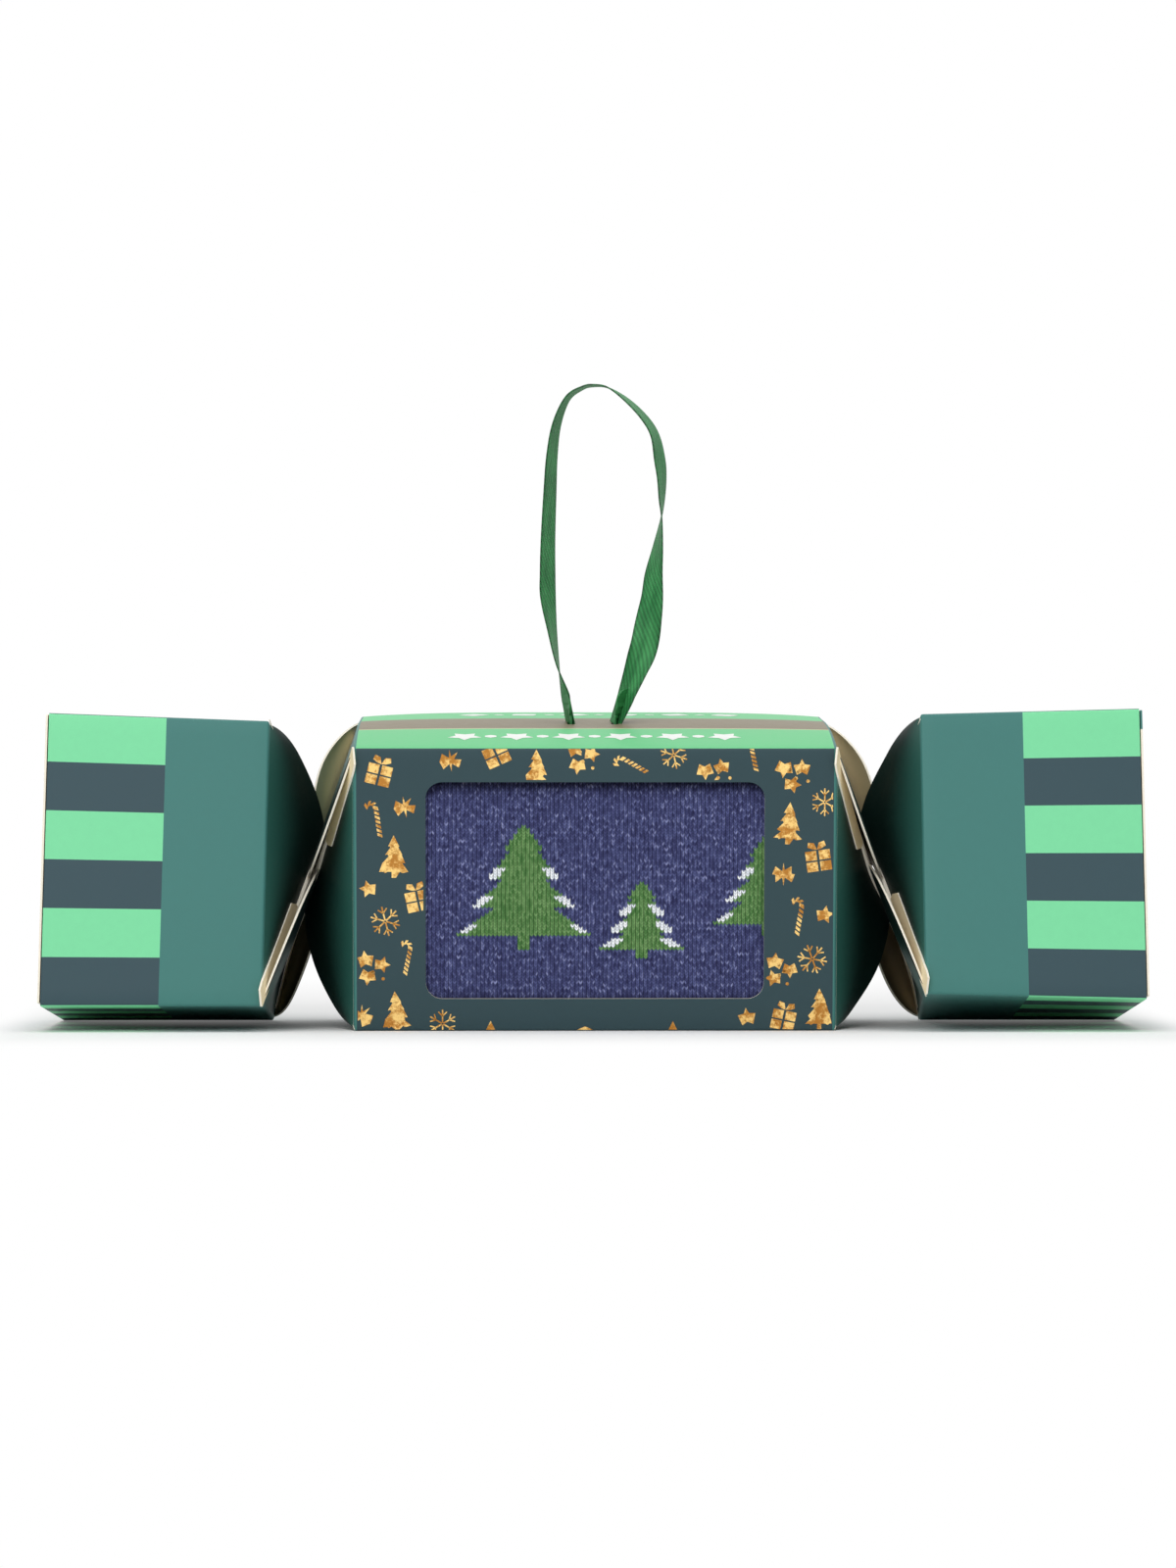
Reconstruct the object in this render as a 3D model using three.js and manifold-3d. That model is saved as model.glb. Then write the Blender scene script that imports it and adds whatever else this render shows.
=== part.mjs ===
// A cracker-shaped gift carton: a square tube of printed board with a window, two twisted necks, two end
// boxes with tuck lids, a ribbon loop to hang it by, and the folded pair of socks that shows in the window.
// Millimetres. +X runs along the cracker, -Y is its front, +Z is up and the table is at z = 0.

import * as THREE from 'three';
import { mergeVertices } from 'three/addons/utils/BufferGeometryUtils.js';
import ManifoldModule from 'manifold-3d';

const wasm = await ManifoldModule();
wasm.setup();

// Board and tube
const BOARD = 0.5;                // thickness of the printed board
const SECTION = 70;               // outside width and height of the square tube
const BODY_LENGTH = 118;          // middle box, fold to fold
const NECK_GAP = 21;              // from the middle box's fold to the end box's fold
const END_LENGTH = 53.5;          // end box, from its fold to the outside of its lid
const CREASE_GAP = 0.3;           // clearance where two panels of the sheet meet at a crease
const TOP_CROWN = 2.6;            // how far the top panel bulges in its middle

// How it lies: the twists stop short, so the middle box leans forward and the end boxes lean back
const BODY_LEAN = 6.7;
const LEFT_LEAN = 5.3;
const RIGHT_LEAN = 8.3;

// Window in the front panel
const WINDOW_WIDTH = 83;
const WINDOW_TOP_BORDER = 8.5;
const WINDOW_BOTTOM_BORDER = 8;
const WINDOW_CORNER = 4;

// Twisted necks: each fold carries a petal-shaped flap that turns in along one diagonal crease
const PETAL_REACH = 51;           // how far the petal's half-ellipse would reach from its fold
const CREASE_SETBACK = 0.5;       // how far a flap stays from the shared diagonal
const FLAP_SPREAD = 1.5;          // how far the two sides' flaps stand off the middle of the neck
const CURL_WIDTH = 7;             // edge of a flap that curls over to the other side's flap at the crease
const CURL_LENGTH = 44;           // along the diagonal, about its middle
const CURL_CLOSURE = 0.85;        // share of the twist's opening that the curled edges take up
const LIP_WIDTH = 4.8;            // sliver of the next flap that stays folded flat on this one
const LIP_LENGTH = 33;            // along the diagonal, from the corner

// Glued seam
const GLUE_WIDTH = 12;
const GLUE_END_CLEARANCE = 3;

// Tuck closure of each end box
const LID_SIDE_CLEARANCE = 0.5;
const TUCK_DEPTH = 15;
const TUCK_LEAN = 7;              // degrees that the tab rises from square, so that it can swing out
const TUCK_SIDE = 8;              // how much narrower than the tube the tab is, on each side
const TUCK_CORNER = 7;
const DUST_REACH = 28;
const DUST_TOP_SLOPE = 0.7;       // fall of the dust flap's top edge for each millimetre of reach
const DUST_BOTTOM_SLOPE = 0.45;
const DUST_BOTTOM_START = 3;

// Ribbon
const RIBBON_WIDTH = 7;
const RIBBON_THICKNESS = 0.4;
const RIBBON_SLIT_SPACING = 11;
const RIBBON_SLIT_CLEARANCE = 0.8;
const RIBBON_PIVOT_HEIGHT = 5;    // above the crowned panel, where the loop starts to swing
const RIBBON_NECK_HEIGHT = 2;     // above the crowned panel, where the ribbon's fixed ends narrow for the swing
const KNOT_SIZE = new THREE.Vector3( 10, 6, 3.6 );

// Folded socks, standing on edge behind the window
const SOCK_LENGTH = 108;
const SOCK_TOP_CLEARANCE = 6.5;
const SOCK_RECESS = 3;            // from the window panel's inner face to the knit
const SOCK_SPLIT = 0.6;           // between the two folded socks
const SOCK_CORNER = 14;
const SOCK_PILLOW = 7;

// Facets
const CURVE_STEPS = 6;
const PETAL_STEPS = 14;
const CURL_STEPS = 6;
const CROWN_STEPS = 10;
const RIBBON_STEPS = 64;
const STRAND_STEPS = 16;
const KNOT_STEPS = 16;
const PILLOW_STEPS = 3;

const HALF = SECTION / 2;
const INNER = HALF - BOARD;
const BODY_END = BODY_LENGTH / 2;
const END_FOLD = BODY_END + NECK_GAP;
const CRACKER_END = END_FOLD + END_LENGTH;
const RIM = CRACKER_END - BOARD - CREASE_GAP;
const MITRE = CREASE_GAP / Math.SQRT2;
const QUARTER = Math.PI / 2;
const radians = THREE.MathUtils.degToRad;

const printed = ( color ) => new THREE.MeshStandardMaterial( { color, roughness: 0.55, metalness: 0 } );
const MATERIALS = {
  navyBoard: printed( 0x475963 ),
  greenBoard: printed( 0x86e2ab ),
  tealBoard: printed( 0x55857b ),
  neckBoard: printed( 0x1c443f ),
  creamBoard: new THREE.MeshStandardMaterial( { color: 0xcdb48c, roughness: 0.85, metalness: 0 } ),
  ribbon: new THREE.MeshStandardMaterial( { color: 0x48815b, roughness: 0.35, metalness: 0 } ),
  knit: new THREE.MeshStandardMaterial( { color: 0x424765, roughness: 0.95, metalness: 0 } ),
};

// Solids and geometries

function welded( geometry ) {
  geometry.deleteAttribute( 'normal' );
  geometry.deleteAttribute( 'uv' );
  return mergeVertices( geometry, 1e-4 );
}

function toSolid( geometry ) {
  const closed = welded( geometry );
  return new wasm.Manifold( new wasm.Mesh( {
    numProp: 3,
    vertProperties: new Float32Array( closed.attributes.position.array ),
    triVerts: new Uint32Array( closed.index.array ),
  } ) );
}

function toGeometry( solid ) {
  const result = solid.getMesh();
  const geometry = new THREE.BufferGeometry();
  geometry.setAttribute( 'position', new THREE.BufferAttribute( result.vertProperties, 3 ) );
  geometry.setIndex( new THREE.BufferAttribute( result.triVerts, 1 ) );
  return geometry;
}

function cut( geometry, ...cutters ) {
  const subtract = ( solid, cutter ) => solid.subtract( toSolid( cutter ) );
  return toGeometry( cutters.reduce( subtract, toSolid( geometry ) ) );
}

function common( first, second ) {
  return toGeometry( toSolid( first ).intersect( toSolid( second ) ) );
}

function join( first, ...others ) {
  const add = ( solid, other ) => solid.add( toSolid( other ) );
  return toGeometry( others.reduce( add, toSolid( first ) ) );
}

function mirrored( geometry ) {
  const flipped = geometry.index ? geometry.clone() : welded( geometry.clone() );
  flipped.scale( - 1, 1, 1 );
  const index = flipped.index.array;
  for ( let i = 0; i < index.length; i += 3 ) {
    const swap = index[ i ];
    index[ i ] = index[ i + 1 ];
    index[ i + 1 ] = swap;
  }
  return flipped;
}

// A flat plate of board: an outline in two directions, its thickness running from low to high along the third
function plate( outline, frame, low = 0, high = BOARD ) {
  const shape = new THREE.Shape( outline );
  const geometry = new THREE.ExtrudeGeometry( shape, { depth: high - low, bevelEnabled: false } );
  return geometry.translate( 0, 0, low ).applyMatrix4( frame );
}

const spaced = ( from, to, count ) =>
  Array.from( { length: count + 1 }, ( _, step ) => THREE.MathUtils.lerp( from, to, step / count ) );

// A closed sheet over a grid of lines: point( u, v, layer ) gives its under face on layer 0, its upper on 1
function slab( us, vs, point ) {
  const positions = [];
  const index = [];
  for ( const layer of [ 0, 1 ] ) {
    for ( const u of us ) {
      for ( const v of vs ) positions.push( ...point( u, v, layer ) );
    }
  }
  const rows = us.length - 1;
  const columns = vs.length - 1;
  const low = ( i, j ) => i * vs.length + j;
  const high = ( i, j ) => low( us.length + i, j );
  const quad = ( a, b, c, d ) => index.push( a, b, c, a, c, d );
  for ( let i = 0; i < rows; i ++ ) {
    for ( let j = 0; j < columns; j ++ ) {
      quad( high( i, j ), high( i + 1, j ), high( i + 1, j + 1 ), high( i, j + 1 ) );
      quad( low( i, j ), low( i, j + 1 ), low( i + 1, j + 1 ), low( i + 1, j ) );
    }
    quad( low( i, 0 ), low( i + 1, 0 ), high( i + 1, 0 ), high( i, 0 ) );
    quad( low( i + 1, columns ), low( i, columns ), high( i, columns ), high( i + 1, columns ) );
  }
  for ( let j = 0; j < columns; j ++ ) {
    quad( low( 0, j + 1 ), low( 0, j ), high( 0, j ), high( 0, j + 1 ) );
    quad( low( rows, j ), low( rows, j + 1 ), high( rows, j + 1 ), high( rows, j ) );
  }
  const geometry = new THREE.BufferGeometry();
  geometry.setAttribute( 'position', new THREE.Float32BufferAttribute( positions, 3 ) );
  geometry.setIndex( index );
  return geometry;
}

function frameOf( origin, first, second ) {
  const third = new THREE.Vector3().crossVectors( first, second );
  return new THREE.Matrix4().makeBasis( first, second, third ).setPosition( origin );
}

function roundedOutline( width, height, corner, centreY = 0 ) {
  const points = [];
  for ( let side = 0; side < 4; side ++ ) {
    const signX = side === 0 || side === 3 ? 1 : - 1;
    const signY = side < 2 ? 1 : - 1;
    for ( let step = 0; step <= CURVE_STEPS; step ++ ) {
      const angle = QUARTER * ( side + step / CURVE_STEPS );
      points.push( new THREE.Vector2(
        signX * ( width / 2 - corner ) + corner * Math.cos( angle ),
        centreY + signY * ( height / 2 - corner ) + corner * Math.sin( angle ) ) );
    }
  }
  return points;
}

// Tube panels, made as the top panel and turned about the cracker's axis onto their side

const SIDES = [ 'top', 'front', 'bottom', 'back' ];
const turnTo = ( side ) => new THREE.Matrix4().makeRotationX( SIDES.indexOf( side ) * QUARTER );

function tubePanel( from, to ) {
  const outline = [
    new THREE.Vector2( - HALF + MITRE, HALF ),
    new THREE.Vector2( - INNER + MITRE, INNER ),
    new THREE.Vector2( INNER - MITRE, INNER ),
    new THREE.Vector2( HALF - MITRE, HALF ),
  ];
  const frame = frameOf( new THREE.Vector3(), new THREE.Vector3( 0, 1, 0 ), new THREE.Vector3( 0, 0, 1 ) );
  return plate( outline, frame, from, to );
}

// The same panel with its middle bulging out, as folded board does over its load
function crownedPanel( from, to ) {
  const lines = spaced( - 1, 1, CROWN_STEPS );
  return slab( lines, lines, ( along, across, layer ) => {
    const x = THREE.MathUtils.mapLinear( along, - 1, 1, from, to );
    const height = layer ? HALF : INNER;
    const crown = TOP_CROWN * ( 1 - along ** 4 ) * ( 1 - across ** 2 );
    return new THREE.Vector3( x, across * ( height - MITRE ), height + crown );
  } );
}

// A strip folded in from one panel's edge and glued flat under the inner face of the next panel
function gluedStrip( from, to ) {
  const seat = INNER - CREASE_GAP;
  const outline = roundedOutline( to - from, GLUE_WIDTH, GLUE_WIDTH / 4, seat - GLUE_WIDTH / 2 - BOARD );
  const frame = frameOf(
    new THREE.Vector3( ( from + to ) / 2, 0, seat - BOARD ),
    new THREE.Vector3( 1, 0, 0 ), new THREE.Vector3( 0, 1, 0 ) );
  return plate( outline, frame );
}

// Neck flaps, made for the +X neck. Across runs along the fold and reach runs from the fold to the waist.

function neckFlap( lean ) {
  const turn = QUARTER - radians( BODY_LEAN + lean );
  const cosine = Math.cos( turn );
  const sine = Math.sin( turn );
  const corner = new THREE.Vector2( HALF, 0 );
  const slope = new THREE.Vector3( NECK_GAP / 2 - FLAP_SPREAD, HALF, 0 ).normalize();
  const farCorner = new THREE.Vector2( - HALF * ( sine + cosine ), HALF * ( 1 - cosine + sine ) / slope.y );
  const along = farCorner.clone().sub( corner ).normalize();
  const into = new THREE.Vector2( - along.y, along.x );
  const at = ( distance, offset ) =>
    corner.clone().addScaledVector( along, distance ).addScaledVector( into, offset );

  const start = BOARD + 2 * CREASE_GAP;
  const halfWidth = INNER - CREASE_GAP;
  const ellipse = ( angle ) =>
    new THREE.Vector2( halfWidth * Math.cos( angle ), PETAL_REACH * Math.sin( angle ) );
  const size = Math.hypot( into.x * halfWidth, into.y * PETAL_REACH );
  const phase = Math.atan2( into.y * PETAL_REACH, into.x * halfWidth ) + 2 * Math.PI;
  const firstAngle = Math.PI - Math.asin( start / PETAL_REACH );
  const lastAngle = phase - Math.acos( ( CREASE_SETBACK + into.dot( corner ) ) / size );

  const distanceAt = ( reach, offset ) => ( reach - offset * into.y ) / along.y;
  const petal = [ at( distanceAt( start, CREASE_SETBACK ), CREASE_SETBACK ) ];
  for ( let step = PETAL_STEPS; step >= 0; step -- ) {
    petal.push( ellipse( firstAngle + ( lastAngle - firstAngle ) * step / PETAL_STEPS ) );
  }

  // The flap lies off the middle of the neck and its edge curls over to meet its other half at the crease
  const middle = at( 0, 0 ).distanceTo( farCorner ) / 2;
  const curlStart = middle - CURL_LENGTH / 2;
  const waist = Math.hypot( HALF - slope.y * farCorner.y / 2, ( HALF + farCorner.x ) / 2 );
  const opening = waist * Math.sin( QUARTER - turn );
  const curlDepth = ( FLAP_SPREAD - CREASE_GAP / 2 ) * slope.y + CURL_CLOSURE * opening / 2;
  const distances = [ - SECTION, ...spaced( curlStart, curlStart + CURL_LENGTH, CURL_STEPS ), 3 * SECTION ];
  const offsets = [ 0, ...spaced( CREASE_SETBACK, CREASE_SETBACK + CURL_WIDTH, CURL_STEPS / 2 ), 2 * SECTION ];
  const sheet = slab( distances, offsets, ( distance, offset, layer ) => {
    const place = at( distance, offset );
    const along = THREE.MathUtils.clamp( ( distance - curlStart ) / CURL_LENGTH, 0, 1 );
    const across = THREE.MathUtils.clamp( ( offset - CREASE_SETBACK ) / CURL_WIDTH, 0, 1 );
    const fall = curlDepth * Math.sin( Math.PI * along ) ** 2 * ( 1 - across ) ** 2;
    return new THREE.Vector3( place.x, place.y, layer * BOARD - fall );
  } );

  const lip = [
    at( distanceAt( start, CREASE_SETBACK ), CREASE_SETBACK ),
    at( distanceAt( start, LIP_WIDTH ), LIP_WIDTH ),
    at( LIP_LENGTH - LIP_WIDTH, LIP_WIDTH ),
    at( LIP_LENGTH, CREASE_SETBACK ),
  ];

  const bodyFrame = frameOf(
    new THREE.Vector3( BODY_END, - HALF, 0 ),
    new THREE.Vector3( 0, 0, 1 ), slope );
  const endFrame = frameOf(
    new THREE.Vector3( END_FOLD, 0, - HALF ),
    new THREE.Vector3( 0, 1, 0 ), new THREE.Vector3( - slope.x, 0, slope.y ) );

  // The next flap round lies over this one's corner, so its thickness is taken away, with a gap under it
  const nextFlap = new THREE.BoxGeometry( 4 * SECTION, 4 * SECTION, SECTION )
    .translate( 0, 0, BOARD + CREASE_GAP - SECTION / 2 );
  const build = ( frame, neighbourTurn ) => {
    const curled = common( sheet.clone().applyMatrix4( frame ), plate( petal, frame, - SECTION, SECTION ) );
    const flap = join( curled, plate( lip, frame, - BOARD, BOARD / 2 ) );
    const nextFrame = new THREE.Matrix4().makeRotationX( neighbourTurn ).multiply( frame );
    return cut( flap, nextFlap.clone().applyMatrix4( nextFrame ) );
  };
  return { body: build( bodyFrame, - QUARTER ), end: build( endFrame, QUARTER ) };
}

// Tuck closure, made for the +X end

const TUCK_ROOT = - INNER + CREASE_GAP;

function lidPlate() {
  const height = HALF - TUCK_ROOT - CREASE_GAP;
  const outline = roundedOutline( SECTION - 2 * LID_SIDE_CLEARANCE, height, BOARD, TUCK_ROOT + height / 2 );
  const frame = frameOf(
    new THREE.Vector3( RIM + CREASE_GAP, 0, 0 ),
    new THREE.Vector3( 0, 1, 0 ), new THREE.Vector3( 0, 0, 1 ) );
  return plate( outline, frame );
}

function tuckTab() {
  const halfWidth = HALF - TUCK_SIDE;
  const outline = [ new THREE.Vector2( 0, - halfWidth ), new THREE.Vector2( 0, halfWidth ) ];
  for ( const side of [ 1, - 1 ] ) {
    for ( let step = 0; step <= CURVE_STEPS; step ++ ) {
      const angle = QUARTER * ( side > 0 ? 1 - step / CURVE_STEPS : step / CURVE_STEPS );
      outline.push( new THREE.Vector2(
        TUCK_DEPTH - TUCK_CORNER * ( 1 - Math.cos( angle ) ),
        side * ( halfWidth - TUCK_CORNER * ( 1 - Math.sin( angle ) ) ) ) );
    }
  }
  const lean = radians( TUCK_LEAN );
  const frame = frameOf(
    new THREE.Vector3( RIM, 0, TUCK_ROOT ),
    new THREE.Vector3( - Math.cos( lean ), 0, Math.sin( lean ) ), new THREE.Vector3( 0, 1, 0 ) );
  return plate( outline.reverse(), frame, - BOARD, 0 );
}

function dustFlap( side ) {
  const root = HALF - BOARD - CREASE_GAP;
  const reach = DUST_REACH - BOARD - CREASE_GAP;
  const top = INNER - 2 * CREASE_GAP;
  const outline = [
    new THREE.Vector2( root, top ),
    new THREE.Vector2( root, - top + DUST_BOTTOM_START ),
    new THREE.Vector2( root - reach, - top + DUST_BOTTOM_START + DUST_BOTTOM_SLOPE * reach ),
    new THREE.Vector2( root - reach, top - DUST_TOP_SLOPE * reach ),
  ];
  const placed = outline.map( ( point ) => new THREE.Vector2( side * point.x, point.y ) );
  if ( side > 0 ) placed.reverse();
  const frame = frameOf(
    new THREE.Vector3( RIM, 0, 0 ),
    new THREE.Vector3( 0, 1, 0 ), new THREE.Vector3( 0, 0, 1 ) );
  return plate( placed, frame, - BOARD, 0 );
}

// Ribbon: a flat band swept along a route, turned about it by a roll in degrees, 90 when it faces the front

function band( route, steps ) {
  const curve = new THREE.CatmullRomCurve3( route.map( ( [ x, y, z ] ) => new THREE.Vector3( x, y, z ) ) );
  const positions = [];
  const index = [];
  for ( let step = 0; step <= steps; step ++ ) {
    const t = step / steps;
    const place = t * ( route.length - 1 );
    const before = Math.min( Math.floor( place ), route.length - 2 );
    const [ rollBefore, rollAfter ] = [ route[ before ][ 3 ], route[ before + 1 ][ 3 ] ];
    const roll = radians( THREE.MathUtils.lerp( rollBefore, rollAfter, place - before ) );
    const centre = curve.getPoint( t );
    const tangent = curve.getTangent( t );
    const depth = new THREE.Vector3( 0, 1, 0 ).addScaledVector( tangent, - tangent.y ).normalize();
    const sideways = new THREE.Vector3().crossVectors( depth, tangent );
    const width = depth.multiplyScalar( Math.cos( roll ) ).addScaledVector( sideways, Math.sin( roll ) );
    const normal = new THREE.Vector3().crossVectors( tangent, width );
    for ( const [ across, up ] of [ [ - 1, - 1 ], [ 1, - 1 ], [ 1, 1 ], [ - 1, 1 ] ] ) {
      const point = centre.clone()
        .addScaledVector( width, across * RIBBON_WIDTH / 2 )
        .addScaledVector( normal, up * RIBBON_THICKNESS / 2 );
      positions.push( point.x, point.y, point.z );
    }
  }
  for ( let step = 0; step < steps; step ++ ) {
    for ( let side = 0; side < 4; side ++ ) {
      const a = 4 * step + side;
      const b = 4 * step + ( side + 1 ) % 4;
      index.push( a, b, b + 4, a, b + 4, a + 4 );
    }
  }
  const last = 4 * steps;
  index.push( 0, 2, 1, 0, 3, 2, last, last + 1, last + 2, last, last + 2, last + 3 );
  const geometry = new THREE.BufferGeometry();
  geometry.setAttribute( 'position', new THREE.Float32BufferAttribute( positions, 3 ) );
  geometry.setIndex( index );
  return geometry;
}

// The loop's route from the swing line, over the top and down again: x, y, z and roll
const LOOP_ROUTE = [
  [ - 6.7, 0, 0.3, - 15 ], [ - 7.1, - 0.1, 2.5, - 14 ], [ - 8.9, - 0.2, 9.6, 6 ], [ - 10.3, - 0.3, 18.4, 20 ],
  [ - 11.3, - 0.5, 26.4, 34 ], [ - 11.4, - 0.6, 32.2, 34 ], [ - 11.3, - 0.7, 41, 31 ], [ - 10.8, - 0.9, 53.1, 27 ],
  [ - 10.3, - 1.1, 62, 23 ], [ - 9.1, - 1.2, 69.8, 17 ], [ - 6.4, - 1.3, 76.2, 9 ], [ - 2.7, - 1.4, 78.8, 3 ],
  [ 0, - 1.4, 79.4, 0 ], [ 3.7, - 1.4, 78.9, - 4 ], [ 8.4, - 1.3, 75.8, - 12 ], [ 12.8, - 1.3, 71.4, - 17 ],
  [ 15.5, - 1.2, 66.9, - 20 ], [ 16.7, - 1.1, 60.8, - 25 ], [ 17.2, - 1, 56, - 20 ], [ 17.2, - 0.9, 50.6, - 12 ],
  [ 17.1, - 0.8, 46.2, 0 ], [ 16.2, - 0.7, 38.8, 20 ], [ 15.2, - 0.6, 32.2, 38 ], [ 14.8, - 0.5, 26.4, 50 ],
  [ 14, - 0.4, 21, 66 ], [ 12.8, - 0.3, 14.2, 85 ], [ 10.8, - 0.2, 8.4, 57 ], [ 8.6, - 0.1, 2.5, 39 ],
  [ 7.8, 0, 0.3, 35 ],
];

// The ribbon bends at the panel, so its fixed ends have round heads that the loop swings about
const PIVOT = HALF + TOP_CROWN + RIBBON_PIVOT_HEIGHT;

function pivotBarrel( radius ) {
  return new THREE.CylinderGeometry( radius, radius, SECTION, 4 * CURVE_STEPS ).rotateZ( QUARTER );
}

function hangingLoop() {
  return cut( band( LOOP_ROUTE, RIBBON_STEPS ), pivotBarrel( RIBBON_WIDTH / 2 + CREASE_GAP ) );
}

function ribbonRoot() {
  const knotHeight = INNER - KNOT_SIZE.z / 2;
  const strand = ( side, end, next ) => band( [
    [ side * KNOT_SIZE.x / 4, 0, knotHeight, 0 ],
    [ side * RIBBON_SLIT_SPACING / 2, 0, INNER + TOP_CROWN, 0 ],
    [ side * RIBBON_SLIT_SPACING / 2, 0, HALF + TOP_CROWN, 0 ],
    [ end[ 0 ], 0, PIVOT, end[ 3 ] ],
    [ next[ 0 ], 0, PIVOT + RIBBON_WIDTH, end[ 3 ] ],
  ], STRAND_STEPS );
  const knot = new THREE.SphereGeometry( 0.5, KNOT_STEPS, KNOT_STEPS / 2 ).scale( ...KNOT_SIZE );
  const whole = join(
    knot.translate( 0, 0, knotHeight ),
    strand( - 1, LOOP_ROUTE[ 0 ], LOOP_ROUTE[ 1 ] ),
    strand( 1, LOOP_ROUTE.at( - 1 ), LOOP_ROUTE.at( - 2 ) ) );
  const above = new THREE.BoxGeometry( SECTION, SECTION, SECTION )
    .translate( 0, 0, HALF + TOP_CROWN + RIBBON_NECK_HEIGHT + SECTION / 2 );
  return cut( whole, cut( above, pivotBarrel( RIBBON_WIDTH / 2 ).translate( 0, 0, PIVOT ) ) );
}

function slit( side ) {
  const width = RIBBON_THICKNESS + 2 * RIBBON_SLIT_CLEARANCE;
  const length = RIBBON_WIDTH + 2 * RIBBON_SLIT_CLEARANCE;
  return new THREE.BoxGeometry( width, length, SECTION ).translate( side * RIBBON_SLIT_SPACING / 2, 0, HALF );
}

// Folded socks: a pillow with a rounded outline, as deep as its share of the box

function sockPad( front, back ) {
  const bottom = - INNER + BOARD + 2 * CREASE_GAP;
  const top = INNER - SOCK_TOP_CLEARANCE;
  const width = SOCK_LENGTH - 2 * SOCK_PILLOW;
  const height = top - bottom - 2 * SOCK_PILLOW;
  const shape = new THREE.Shape(
    roundedOutline( width, height, SOCK_CORNER - SOCK_PILLOW, ( top + bottom ) / 2 ) );
  const geometry = new THREE.ExtrudeGeometry( shape, {
    depth: back - front - 2 * SOCK_PILLOW,
    bevelThickness: SOCK_PILLOW,
    bevelSize: SOCK_PILLOW,
    bevelSegments: PILLOW_STEPS,
  } );
  geometry.rotateX( QUARTER );
  return geometry.translate( 0, back - SOCK_PILLOW, 0 );
}

// Assembly

const cracker = new THREE.Group();

// A group with the tube's axis at its origin, leaning on one long edge
function standing( lean ) {
  const group = new THREE.Group();
  group.rotation.x = lean;
  group.position.z = HALF * ( Math.cos( lean ) + Math.abs( Math.sin( lean ) ) );
  cracker.add( group );
  return group;
}

function addPiece( group, name, geometry, material ) {
  const piece = new THREE.Mesh( geometry, material );
  piece.name = name;
  group.add( piece );
}

// Middle box
const body = standing( radians( BODY_LEAN ) );
const windowHeight = SECTION - WINDOW_TOP_BORDER - WINDOW_BOTTOM_BORDER;
const windowCentre = ( WINDOW_BOTTOM_BORDER - WINDOW_TOP_BORDER ) / 2;
const windowCutter = new THREE.ExtrudeGeometry(
  new THREE.Shape( roundedOutline( WINDOW_WIDTH, windowHeight, WINDOW_CORNER, windowCentre ) ),
  { depth: SECTION, bevelEnabled: false } );
const bodyPanels = {
  top: cut( crownedPanel( - BODY_END, BODY_END ), slit( - 1 ), slit( 1 ) ),
  front: cut( tubePanel( - BODY_END, BODY_END ), windowCutter ),
  bottom: tubePanel( - BODY_END, BODY_END ),
  back: tubePanel( - BODY_END, BODY_END ),
};
for ( const side of SIDES ) {
  const material = side === 'top' ? MATERIALS.greenBoard : MATERIALS.navyBoard;
  addPiece( body, `body_${side}_panel`, bodyPanels[ side ].applyMatrix4( turnTo( side ) ), material );
}
const seamHalf = BODY_END - GLUE_END_CLEARANCE;
addPiece( body, 'body_glue_flap',
  gluedStrip( - seamHalf, seamHalf ).applyMatrix4( turnTo( 'bottom' ) ), MATERIALS.creamBoard );

// Necks and end boxes, the left one a mirror image with its own lean
for ( const [ name, lean ] of [ [ 'left', LEFT_LEAN ], [ 'right', RIGHT_LEAN ] ] ) {
  const placed = ( geometry ) => name === 'left' ? mirrored( geometry ) : geometry;
  const flap = neckFlap( lean );
  const end = standing( - radians( lean ) );
  SIDES.forEach( ( side ) => {
    const fromFront = new THREE.Matrix4().makeRotationX( ( SIDES.indexOf( side ) - 1 ) * QUARTER );
    const fromBottom = new THREE.Matrix4().makeRotationX( ( SIDES.indexOf( side ) - 2 ) * QUARTER );
    addPiece( body, `${name}_neck_body_flap_${side}`,
      placed( flap.body.clone().applyMatrix4( fromFront ) ), MATERIALS.neckBoard );
    addPiece( end, `${name}_neck_end_flap_${side}`,
      placed( flap.end.clone().applyMatrix4( fromBottom ) ), MATERIALS.neckBoard );
    addPiece( end, `${name}_end_${side}_panel`,
      placed( tubePanel( END_FOLD, RIM ).applyMatrix4( turnTo( side ) ) ), MATERIALS.tealBoard );
  } );
  const endSeam = gluedStrip( END_FOLD + GLUE_END_CLEARANCE, RIM - GLUE_END_CLEARANCE );
  endSeam.applyMatrix4( turnTo( 'back' ) );
  addPiece( end, `${name}_end_glue_flap`, placed( endSeam ), MATERIALS.creamBoard );
  addPiece( end, `${name}_lid`, placed( lidPlate() ), MATERIALS.tealBoard );
  addPiece( end, `${name}_tuck_tab`, placed( tuckTab() ), MATERIALS.tealBoard );
  addPiece( end, `${name}_dust_flap_front`, placed( dustFlap( - 1 ) ), MATERIALS.creamBoard );
  addPiece( end, `${name}_dust_flap_back`, placed( dustFlap( 1 ) ), MATERIALS.creamBoard );
}

// Ribbon
addPiece( body, 'ribbon_knot', ribbonRoot(), MATERIALS.ribbon );
const loop = new THREE.Group();
loop.position.set( 0, 0, PIVOT );
loop.position.applyMatrix4( new THREE.Matrix4().makeRotationX( body.rotation.x ) ).add( body.position );
cracker.add( loop );
addPiece( loop, 'hanging_loop', hangingLoop(), MATERIALS.ribbon );

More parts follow.
